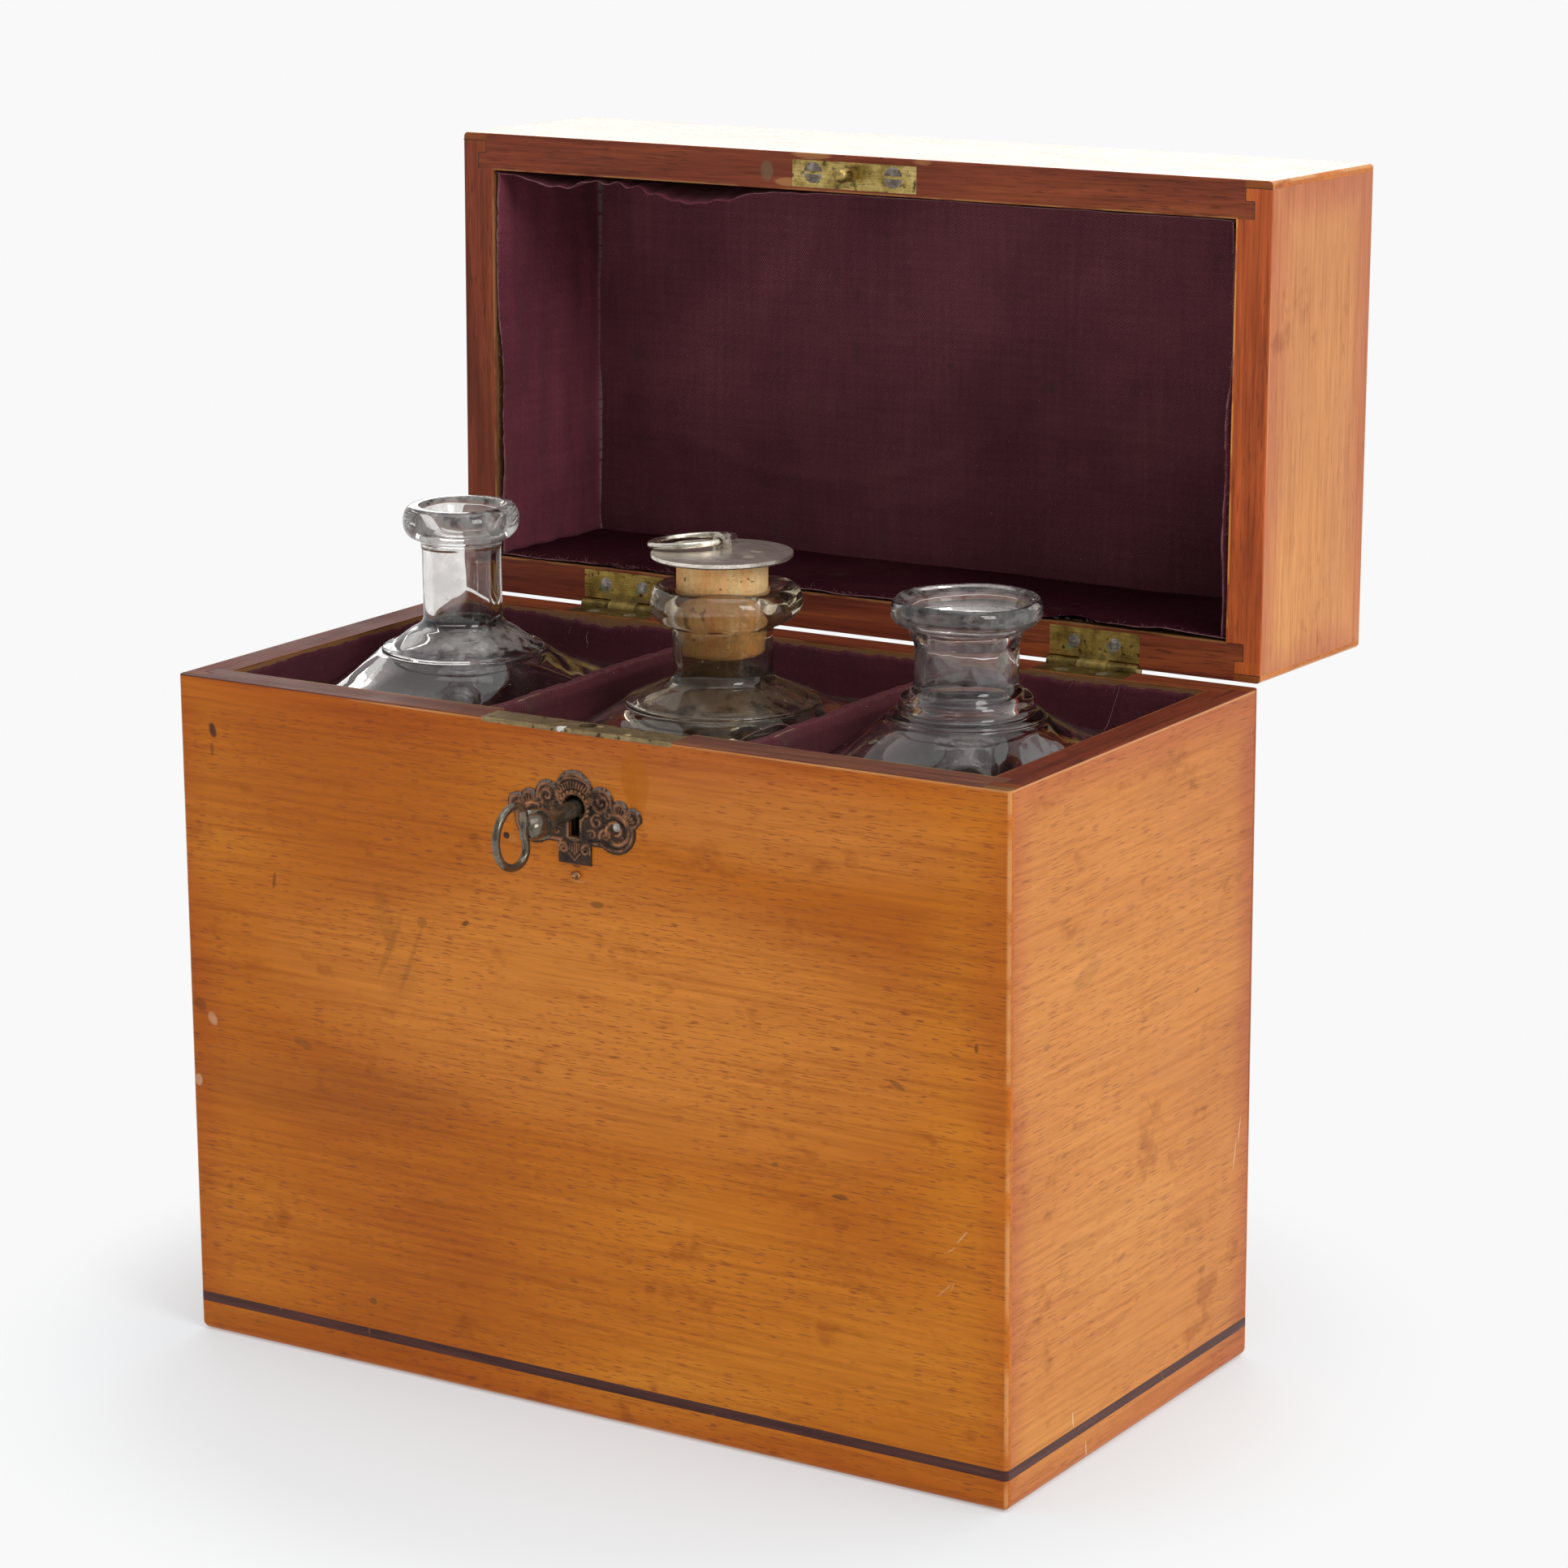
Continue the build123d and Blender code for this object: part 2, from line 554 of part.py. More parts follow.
def striker_screws():
    """Slotted countersunk screws, heads level with the plate."""
    neck = SCREW_EDGE + SCREW_HEAD_R - SCREW_R
    outline = Polyline((0, 0), (SCREW_HEAD_R, 0), (SCREW_HEAD_R, SCREW_EDGE), (SCREW_R, neck),
                       (SCREW_R, SCREW_LONG - SCREW_R), (0, SCREW_LONG), (0, 0))
    screw = turned(outline) - Box(3 * SCREW_HEAD_R, SCREW_SLOT, 2 * SCREW_SLOT_DEEP)
    return [Pos(x, -HALF_D + SCREW_IN, LID_Z) * screw for x in SCREW_X]


def striker_peg():
    """The peg that drops into the lock: a flange, a round-nosed shank and the eye for the bolt."""
    low = -PEG_LONG
    outline = Polyline((0, STRIKER_PLATE), (PEG_RIVET_R, STRIKER_PLATE), (PEG_RIVET_R, 0), (PEG_FLANGE_R, 0),
                       (PEG_FLANGE_R, -PEG_FLANGE), (PEG_R, -PEG_FLANGE), (PEG_R, low + PEG_NOSE))
    spine = Line((0, low), (0, STRIKER_PLATE))
    peg = Pos(PEG_X, PEG_Y, LID_Z) * turned(outline, dome_arc(PEG_R, low + PEG_NOSE, low), spine)
    across, up = PEG_EYE
    middle_y = sum(BOLT_Y) / 2
    middle_z = BOLT_Z[1] - BOLT_HEAD / 2
    eye = block((PEG_X - PEG_FLANGE_R, PEG_X + PEG_FLANGE_R), (middle_y - across / 2, middle_y + across / 2),
                (middle_z - up / 2, middle_z + up / 2))
    return peg - eye


def striker_plate():
    plate = block(STRIKER_X, STRIKER_Y, (LID_Z, LID_Z + STRIKER_PLATE))
    return plate - rod_z(PEG_X, PEG_Y, (LID_Z, LID_Z + STRIKER_PLATE), PEG_RIVET_R)


# ---------------------------------------------------------------- escutcheon

def escutcheon():
    """The stamped keyhole plate, symmetrical about its middle line."""
    y = (-HALF_D - ESCUTCHEON, -HALF_D)
    half, low = ESCUTCHEON_TAB
    plate = block((KEY_X - half, KEY_X + half), y, (KEY_Z + low, KEY_Z + ESCUTCHEON_LOBES[0][1]))
    for out, up, r in ESCUTCHEON_LOBES:
        for side in (-1, 1):
            plate += rod_y(KEY_X + side * out, y, KEY_Z + up, r)
    out, up, r = ESCUTCHEON_LOBES[-1]
    plate += block((KEY_X - out, KEY_X + out), y, (KEY_Z + up - r * 0.8, KEY_Z + ESCUTCHEON_LOBES[1][1]))
    return plate - keyhole(y)


def escutcheon_pins():
    """Small pins, one in each volute."""
    out, up = ESCUTCHEON_PIN
    face = -HALF_D - ESCUTCHEON
    pins = []
    for x in (KEY_X - out, KEY_X + out):
        pin = rod_y(x, (face, face + ESCUTCHEON_PIN_LONG), KEY_Z + up, ESCUTCHEON_PIN_R)
        pins.append(pin + rod_y(x, (face - ESCUTCHEON_PIN_HEAD, face), KEY_Z + up, ESCUTCHEON_PIN_HEAD_R))
    return pins


# ---------------------------------------------------------------- bottles

def disc_radius(b):
    """Radius of the disc at the neck's foot, kept within a narrow bottle."""
    return min(b["disc_r"], BOTTLE_WIDE / 2 - DISC_LEDGE - 2 * SHOULDER_ROUND)


def shoulder_levels(b):
    """Half width, half depth, corner radius and height of the shoulder's outline, from the disc down."""
    r = disc_radius(b) + DISC_LEDGE
    half_w = BOTTLE_WIDE / 2
    half_d = BOTTLE_DEEP / 2
    top_z = b["disc_z"] - DISC_EDGE
    fall = top_z - b["edge_z"]
    return [
        (r, r, r - 0.1, top_z),
        (r + 0.45 * (half_w - r), r + 0.3 * (half_d - r), 0.8 * r, top_z - 0.56 * fall),
        (half_w - SHOULDER_ROUND, half_d - 2 * SHOULDER_ROUND, BOTTLE_CORNER + 1, b["edge_z"]),
        (half_w, half_d, BOTTLE_CORNER, b["edge_z"] - BOTTLE_GLASS),
    ]


def bottle_form(b, low_z, glass):
    """The bottle's body up to the disc, or with a wall's thickness taken off, its hollow."""
    levels = [(w - glass, d - glass, c - min(glass, c / 2), z - glass) for w, d, c, z in shoulder_levels(b)]
    outlines = [Pos(0, 0, z) * RectangleRounded(2 * w, 2 * d, c) for w, d, c, z in reversed(levels)]
    w, d, c, z = levels[-1]
    base = Pos(0, 0, low_z) * extrude(RectangleRounded(2 * w, 2 * d, c), z - low_z)
    base = fillet(base.faces().sort_by(Axis.Z)[0].edges(), BOTTLE_HEEL)
    return base + loft(outlines, ruled=True)


def bottle_neck(b):
    """Disc, neck and ring lip, turned solid."""
    r, n, foot, disc_z = disc_radius(b), b["neck_r"], b["foot_z"], b["disc_z"]
    low = disc_z - DISC_EDGE - BOTTLE_GLASS / 2
    edge = Polyline((0, b["lip_top_z"]), (0, low), (r, low), (r, disc_z - 0.7))
    arris = ThreePointArc((r, disc_z - 0.7), (r - 0.25, disc_z - 0.15), (r - 0.9, disc_z + 0.1))
    cone = Line((r - 0.9, disc_z + 0.1), (n + NECK_COVE, foot))
    cove = ThreePointArc((n + NECK_COVE, foot), (n + 0.2 * NECK_COVE, foot + 0.4 * NECK_COVE), (n, foot + NECK_COVE))
    neck = Line((n, foot + NECK_COVE), (n, b["lip_low_z"]))
    lip = ThreePointArc((n, b["lip_low_z"]), (b["lip_r"], b["lip_mid_z"]), (b["crest_r"], b["lip_top_z"]))
    crown = Line((b["crest_r"], b["lip_top_z"]), (0, b["lip_top_z"]))
    return turned(edge, arris, cone, cove, neck, lip, crown)


def bottle_bore(b):
    """The hollow of the neck: a funnel at the mouth, the bore, and a cone that opens under the disc."""
    m, r, top = b["mouth_r"], b["bore_r"], b["lip_top_z"]
    wide = disc_radius(b) - BOTTLE_GLASS
    low = b["disc_z"] - DISC_EDGE - 2 * BOTTLE_GLASS
    return turned(Polyline((0, top + 1), (m, top + 1), (m, top), (r, top - b["funnel"]), (r, b["foot_z"] - 1.5),
                           (wide, b["disc_z"] - BOTTLE_GLASS), (wide, low), (0, low), (0, top + 1)))


def bottle(name):
    """A moulded glass bottle, hollow, with a pushed-up base."""
    b = BOTTLES[name]
    low = FLOOR_Z + BOTTLE_LIFT
    outer = bottle_form(b, low, 0) + bottle_neck(b)
    inside = bottle_form(b, low + BOTTLE_BASE, BOTTLE_GLASS) + bottle_bore(b)
    ball_r = (PUSH_UP_R ** 2 + PUSH_UP ** 2) / (2 * PUSH_UP)
    dimple = Pos(0, 0, low + PUSH_UP - ball_r) * Sphere(ball_r)
    return Pos(BOTTLE_X[name] + b["off"], 0, 0) * (outer - inside - dimple)


# ---------------------------------------------------------------- stopper

def on_stopper(z):
    """A place on the middle bottle's axis."""
    return Pos(BOTTLE_X["middle"] + BOTTLES["middle"]["off"], 0, z)


def stopper_cork():
    """A tapered cork that follows the bore, straight above the lip."""
    b = BOTTLES["middle"]
    slope = (b["mouth_r"] - b["bore_r"]) / b["funnel"]
    low_r = b["bore_r"] + slope * (CORK_LOW_Z - b["lip_top_z"] + b["funnel"]) - CORK_PLAY
    top_r = b["mouth_r"] - CORK_PLAY
    return on_stopper(0) * turned(Polyline((0, CORK_LOW_Z), (low_r, CORK_LOW_Z), (top_r, b["lip_top_z"]),
                                           (top_r, CAP_DISC_Z), (0, CAP_DISC_Z), (0, CORK_LOW_Z)))


def stopper_disc():
    """A thick pressed disc, flat below and domed above."""
    low, rim = CAP_DISC_Z, CAP_DISC_Z + CAP_DISC_RIM
    edge = Polyline((0, low), (CAP_DISC_R - 0.5, low), (CAP_DISC_R, low + 0.5), (CAP_DISC_R, rim))
    dome = dome_arc(CAP_DISC_R, rim, CAP_DISC_TOP_Z)
    return on_stopper(0) * turned(edge, dome, Line((0, CAP_DISC_TOP_Z), (0, low)))


def stopper_staple():
    """A strap bent over the ring's wire, whose legs go down through the disc into the cork."""
    leg = RING_AXIS_UP + CAP_DISC_RIM + CAP_DISC_DOME + STAPLE_LEG
    across = (-STAPLE_WIDE / 2, STAPLE_WIDE / 2)
    outer = block((-STAPLE_R, STAPLE_R), across, (-leg, 0)) + rod_y(0, across, 0, STAPLE_R)
    gap = block((-STAPLE_HOLE_R, STAPLE_HOLE_R), across, (-leg, 0)) + rod_y(0, across, 0, STAPLE_HOLE_R)
    return on_stopper(CAP_DISC_TOP_Z + RING_AXIS_UP) * Rot(0, 0, RING_TURN) * (outer - gap)


def stopper_ring():
    """A plain wire ring lying over on its staple."""
    ring = Rot(0, RING_DROOP, 0) * Pos(RING_R, 0, 0) * Torus(RING_R, RING_WIRE_R)
    return on_stopper(CAP_DISC_TOP_Z + RING_AXIS_UP) * Rot(0, 0, RING_TURN) * ring


# ---------------------------------------------------------------- putting it together

def build_body():
    """The lower part of the case with everything let into it."""
    form = rounded_case((0, BODY_HEIGHT), 0, FOOT_ARRIS, -1)
    strings = string_ring()
    stamped_pins = escutcheon_pins()
    corner_pins = lock_pins()
    nails = [each for x in HINGE_X for each in hinge_nails(x, -1)]
    cuts = {name: [bottom_board()] + strings for name in ("front", "back", "left", "right")}
    cuts["front"] += [lock_bed(), keyhole((-HALF_D, -IN_Y))] + stamped_pins + corner_pins
    cuts["back"] += [hinge_bed(x, (BODY_HEIGHT - LEAF, BODY_HEIGHT)) for x in HINGE_X] + nails
    for name, wall in four_walls((0, BODY_HEIGHT)).items():
        save(f"body_{name}_board", cut_from(wall, cuts[name]) & form)
    save("bottom_board", bottom_board())
    save("foot_stringing", *[strip & form for strip in strings])
    save("escutcheon", cut_from(escutcheon(), stamped_pins))
    save("escutcheon_pins", *stamped_pins)
    save("lock_pins", *corner_pins)
    save("hinge_nails_body", *nails)
    save("lock_plate", cut_from(lock_plate(), corner_pins))


def build_linings():
    for name, cloth in wall_cloths((FLOOR_Z, BODY_HEIGHT - CLOTH_BELOW_RIM)).items():
        save(f"body_lining_{name}", cloth)
    save("body_lining_floor", block((-IN_X, IN_X), (-IN_Y, IN_Y), (BOTTOM, FLOOR_Z)))
    for name, x in (("left", -DIVIDER_X), ("right", DIVIDER_X)):
        core, wrap = divider(x)
        save(f"divider_{name}", core)
        save(f"divider_{name}_cloth", wrap)
    ceiling_z = CASE_HEIGHT - TOP
    for name, cloth in wall_cloths((LID_Z + CLOTH_BELOW_RIM, ceiling_z - CLOTH)).items():
        save(f"lid_lining_{name}", opened(cloth))
    save("lid_lining_top", opened(block((-IN_X, IN_X), (-IN_Y, IN_Y), (ceiling_z - CLOTH, ceiling_z))))


def build_lid():
    """The lid's walls, top and fittings, drawn shut and saved open."""
    form = rounded_case((LID_Z, CASE_HEIGHT), -1, LID_ARRIS, 0)
    nails = [each for x in HINGE_X for each in hinge_nails(x, 1)]
    screws = striker_screws()
    cuts = {"front": [block(STRIKER_X, STRIKER_Y, (LID_Z, LID_Z + STRIKER_PLATE))] + screws, "left": [], "right": []}
    cuts["back"] = [hinge_bed(x, (LID_Z, LID_Z + LEAF)) for x in HINGE_X] + nails
    for name, wall in four_walls((LID_Z, CASE_HEIGHT - TOP_LIP)).items():
        save(f"lid_{name}_board", opened(cut_from(wall, cuts[name]) & form))
    save("lid_top_board", opened(top_board() & form))
    save("hinge_nails_lid", *[opened(each) for each in nails])
    save("striker_plate", opened(cut_from(striker_plate(), screws)))
    save("striker_screws", *[opened(screw) for screw in screws])
    save("striker_peg", opened(striker_peg()))


def build_hinges():
    for name, x in zip(("left", "right"), HINGE_X):
        lower, upper, pin = hinge(x)
        save(f"hinge_{name}_body_leaf", cut_from(lower, hinge_nails(x, -1)))
        save(f"hinge_{name}_lid_leaf", opened(cut_from(upper, hinge_nails(x, 1))))
        save(f"hinge_{name}_pin", pin)


def build_lock():
    save("lock_cap", lock_cap())
    save("drill_pin", drill_pin())
    save("bolt_stud", bolt_stud())
    save("bolt_spring", bolt_spring())
    save("lock_bolt", lock_bolt())
    save("key", key())


def build_bottles():
    for name in BOTTLES:
        save(f"bottle_{name}", bottle(name))
    staple = stopper_staple()
    save("stopper_cork", stopper_cork() - staple)
    save("stopper_disc", stopper_disc() - staple)
    save("stopper_staple", staple)
    save("stopper_ring", stopper_ring())


os.makedirs("parts", exist_ok=True)
build_body()
build_linings()
build_lid()
build_hinges()
build_lock()
build_bottles()
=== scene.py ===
import math

import bpy
import numpy as np
from mathutils import Matrix


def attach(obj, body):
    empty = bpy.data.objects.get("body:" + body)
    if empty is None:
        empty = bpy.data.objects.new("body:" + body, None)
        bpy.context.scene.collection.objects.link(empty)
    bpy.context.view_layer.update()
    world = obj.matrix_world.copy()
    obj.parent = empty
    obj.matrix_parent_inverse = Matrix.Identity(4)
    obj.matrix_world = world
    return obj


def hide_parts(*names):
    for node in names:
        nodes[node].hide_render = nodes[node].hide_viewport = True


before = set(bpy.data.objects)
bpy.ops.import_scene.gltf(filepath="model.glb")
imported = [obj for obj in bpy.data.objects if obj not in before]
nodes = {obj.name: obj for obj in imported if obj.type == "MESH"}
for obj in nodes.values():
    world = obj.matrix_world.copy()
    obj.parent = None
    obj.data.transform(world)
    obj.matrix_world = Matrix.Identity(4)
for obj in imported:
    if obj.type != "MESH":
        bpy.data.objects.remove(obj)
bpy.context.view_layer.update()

# ---- Camera: a long lens to the right of the keyhole and a little above the case.
AZIMUTH, ELEVATION, ROLL = 0.564, 0.239, -0.006
lens = bpy.data.cameras.new("camera")
lens.lens, lens.sensor_width = 108.42, 36.0
lens.clip_start, lens.clip_end = 0.05, 60.0
forward = np.array([-math.sin(AZIMUTH) * math.cos(ELEVATION), math.cos(AZIMUTH) * math.cos(ELEVATION),
                    -math.sin(ELEVATION)])
level = np.cross(forward, (0, 0, 1))
level /= np.linalg.norm(level)
upright = np.cross(level, forward)
across = level * math.cos(ROLL) + upright * math.sin(ROLL)
above = -level * math.sin(ROLL) + upright * math.cos(ROLL)
stand = np.column_stack([across, above, -forward])
camera = bpy.data.objects.new("camera", lens)
camera.matrix_world = Matrix.Translation((0.784536, -1.199375, 0.533158)) @ Matrix(stand.tolist()).to_4x4()
bpy.context.scene.collection.objects.link(camera)
bpy.context.scene.camera = camera


# ---- Studio: a white table running back to a white backdrop. A broad softbox stands to the right, another
# hangs overhead, and a low bright one far behind glances off the lid. In front the room is dim.
BACKDROP = (0.947, 0.947, 0.947, 1.0)


def add(net, kind, *links, **settings):
    """One shader node: settings are its properties, links are pairs of an input and its value or source."""
    made = net.nodes.new("ShaderNode" + kind)
    for name, value in settings.items():
        setattr(made, name, value)
    for socket, value in links:
        if isinstance(value, bpy.types.NodeSocket):
            net.links.new(value, made.inputs[socket])
        else:
            made.inputs[socket].default_value = value
    return made


def sums(net, operation, *values):
    """One arithmetic step on one to three numbers."""
    return add(net, "Math", *enumerate(values), operation=operation).outputs[0]


def soft_step(net, value, low, high):
    """0 below low and 1 above high with a smooth passage; low above high turns it round."""
    made = add(net, "MapRange", ("Value", value), ("From Min", min(low, high)),
               ("From Max", max(low, high)), ("To Min", 0.0 if low < high else 1.0),
               ("To Max", 1.0 if low < high else 0.0), interpolation_type="SMOOTHSTEP")
    return made.outputs[0]


def finish_named(name):
    """An empty node material with its output, ready to be wired."""
    made = bpy.data.materials.new(name)
    made.use_nodes = True
    made.node_tree.nodes.clear()
    return made, made.node_tree, add(made.node_tree, "OutputMaterial")


def grid_quads(rows, columns, closed_v=False):
    """Quads joining point (i, j) of a grid to (i+1, j), (i+1, j+1) and (i, j+1); closed_v wraps j round."""
    number = np.arange(rows * columns).reshape(rows, columns)
    if closed_v:
        number = np.hstack([number, number[:, :1]])
    return np.stack([number[:-1, :-1], number[1:, :-1], number[1:, 1:], number[:-1, 1:]], -1).reshape(-1, 4)


def mesh_object(name, points, faces, spread=None):
    """A smooth mesh object; spread gives each point's place on the flat pattern, stored as a UV map."""
    mesh = bpy.data.meshes.new(name)
    points = np.asarray(points, float).reshape(-1, 3)
    mesh.from_pydata(points.tolist(), [], [list(map(int, face)) for face in faces])
    mesh.polygons.foreach_set("use_smooth", np.ones(len(mesh.polygons), bool))
    if spread is not None:
        corner = np.zeros(len(mesh.loops), np.int32)
        mesh.loops.foreach_get("vertex_index", corner)
        layer = mesh.uv_layers.new(name="UVMap")
        layer.data.foreach_set("uv", np.asarray(spread, float).reshape(-1, 2)[corner].ravel())
    made = bpy.data.objects.new(name, mesh)
    bpy.context.scene.collection.objects.link(made)
    return made


def build_stage():
    """The floor, lit white and losing its shadows with distance, the world and the softboxes."""
    finish, net, output = finish_named("table_white")
    place = add(net, "SeparateXYZ", ("Vector", add(net, "TexCoord").outputs["Object"])).outputs
    far = sums(net, "SQRT", sums(net, "ADD", sums(net, "MULTIPLY", place["X"], place["X"]),
                                 sums(net, "MULTIPLY", place["Y"], place["Y"])))
    fade = add(net, "MapRange", ("Value", far), ("From Min", 0.17), ("From Max", 0.25), ("To Min", 0.36),
               ("To Max", 1.0), interpolation_type="SMOOTHSTEP").outputs[0]
    paint = add(net, "BsdfDiffuse", ("Color", (0.80, 0.85, 0.885, 1)))
    glow = add(net, "Emission", ("Color", BACKDROP), ("Strength", 1.0))
    mixed = add(net, "MixShader", (0, fade), (1, paint.outputs[0]), (2, glow.outputs[0]))
    net.links.new(mixed.outputs[0], output.inputs["Surface"])
    side = np.linspace(-30, 30, 3)
    x, y = np.meshgrid(side, side, indexing="ij")
    floor = mesh_object("table", np.stack([x, y, 0 * x - 0.0002], -1), grid_quads(3, 3))
    floor.data.materials.append(finish)

    world = bpy.data.worlds.new("studio")
    world.use_nodes = True
    bpy.context.scene.world = world
    net = world.node_tree
    net.nodes.clear()
    way = add(net, "SeparateXYZ", ("Vector", add(net, "TexCoord").outputs["Generated"])).outputs
    front = add(net, "MapRange", ("Value", way["Y"]), ("From Min", -0.9), ("From Max", 0.1),
                ("To Min", 0.40), ("To Max", 0.93), interpolation_type="SMOOTHSTEP").outputs[0]
    right = add(net, "MapRange", ("Value", way["X"]), ("From Min", -0.9), ("From Max", 0.9),
                ("To Min", 0.78), ("To Max", 1.2), interpolation_type="SMOOTHSTEP").outputs[0]
    soft = add(net, "Background", ("Color", (1, 1, 1, 1)),
               ("Strength", sums(net, "MULTIPLY", front, right)))
    seen = add(net, "Background", ("Color", BACKDROP), ("Strength", 1.0))
    mixed = add(net, "MixShader", (0, add(net, "LightPath").outputs["Is Camera Ray"]), (1, soft.outputs[0]),
                (2, seen.outputs[0]))
    net.links.new(mixed.outputs[0], add(net, "OutputWorld").inputs["Surface"])

    boxes = (("softbox_right", (2.0, -0.75, 1.45), (0.8, 0.95), 6.0),
             ("softbox_above", (0.2, -0.25, 2.3), (1.6, 1.6), 1.3),
             ("softbox_behind", (-1.56, 2.65, 1.15), (2.6, 1.0), 3.2))
    for name, where, size, bright in boxes:
        lamp = bpy.data.lights.new(name, "AREA")
        lamp.shape, lamp.size, lamp.size_y = "RECTANGLE", size[0], size[1]
        lamp.energy = bright * math.pi * size[0] * size[1]
        box = bpy.data.objects.new(name, lamp)
        back = np.array(where) - (0, 0, 0.2)
        back = back / np.linalg.norm(back)
        sideways = np.cross((0, 0, 1), back)
        sideways /= np.linalg.norm(sideways)
        turn = np.column_stack([sideways, np.cross(back, sideways), back])
        box.matrix_world = Matrix.Translation(where) @ Matrix(turn.tolist()).to_4x4()
        box.visible_camera = False
        bpy.context.scene.collection.objects.link(box)


build_stage()
bpy.context.scene.view_settings.view_transform = "Standard"


# ---- Case: lid and body of solid boards of a pale, fine-pored wood, locked together at the corners and
# waxed to a deep honey. The grain runs round the case, the tone is redder along the edges, and the rims,
# never waxed, have gone a mahogany brown with lighter patches at the corner joints.
HALF_W, HALF_D, WALL = 0.15, 0.07715, 0.012
RIM_Z, SHUT_Z, CASE_HEIGHT = 0.2172, 0.2175, 0.2886
PIN_Y, PIN_Z, LID_OPEN = 0.07785, 0.21735, math.radians(91.0)


def noise(net, place, scale, detail=2.0, rough=0.5, squeeze=(1, 1, 1), shift=0.0, distort=0.0):
    """Smooth random values round 0.5; squeeze below 1 draws them out along that axis."""
    put = add(net, "Mapping", ("Vector", place), ("Scale", squeeze),
              ("Location", (shift, shift * 0.7, -shift)))
    return add(net, "TexNoise", ("Vector", put.outputs[0]), ("Scale", scale), ("Detail", detail),
               ("Roughness", rough), ("Distortion", distort)).outputs["Fac"]


def colours(net, value, *stops):
    """A colour ramp through (position, (r, g, b)) stops."""
    made = add(net, "ValToRGB", ("Fac", value))
    ends = made.color_ramp.elements
    ends[0].position, ends[0].color = stops[0][0], (*stops[0][1], 1)
    ends[1].position, ends[1].color = stops[-1][0], (*stops[-1][1], 1)
    for position, colour in stops[1:-1]:
        ends.new(position).color = (*colour, 1)
    return made.outputs["Color"]


def over(net, base, colour, cover, blend="MIX"):
    """Lay a colour over another where cover is 1."""
    if isinstance(colour, tuple):
        colour = (*colour, 1)
    return add(net, "MixRGB", ("Fac", cover), ("Color1", base), ("Color2", colour),
               blend_type=blend).outputs[0]


def spot(net, first, second, centre, radii, tilt=0.0, ragged=None, fade=(1.35, 0.45)):
    """1 inside a soft ellipse on a face, given in millimetres and degrees, and 0 well outside it."""
    cos, sin = math.cos(math.radians(tilt)), math.sin(math.radians(tilt))
    a = sums(net, "SUBTRACT", first, centre[0] / 1000)
    b = sums(net, "SUBTRACT", second, centre[1] / 1000)
    long = sums(net, "ADD", sums(net, "MULTIPLY", a, cos * 1000 / radii[0]),
                sums(net, "MULTIPLY", b, sin * 1000 / radii[0]))
    wide = sums(net, "ADD", sums(net, "MULTIPLY", a, -sin * 1000 / radii[1]),
                sums(net, "MULTIPLY", b, cos * 1000 / radii[1]))
    far = sums(net, "ADD", sums(net, "MULTIPLY", long, long), sums(net, "MULTIPLY", wide, wide))
    if ragged is not None:
        far = sums(net, "ADD", far, ragged)
    return soft_step(net, far, *fade)


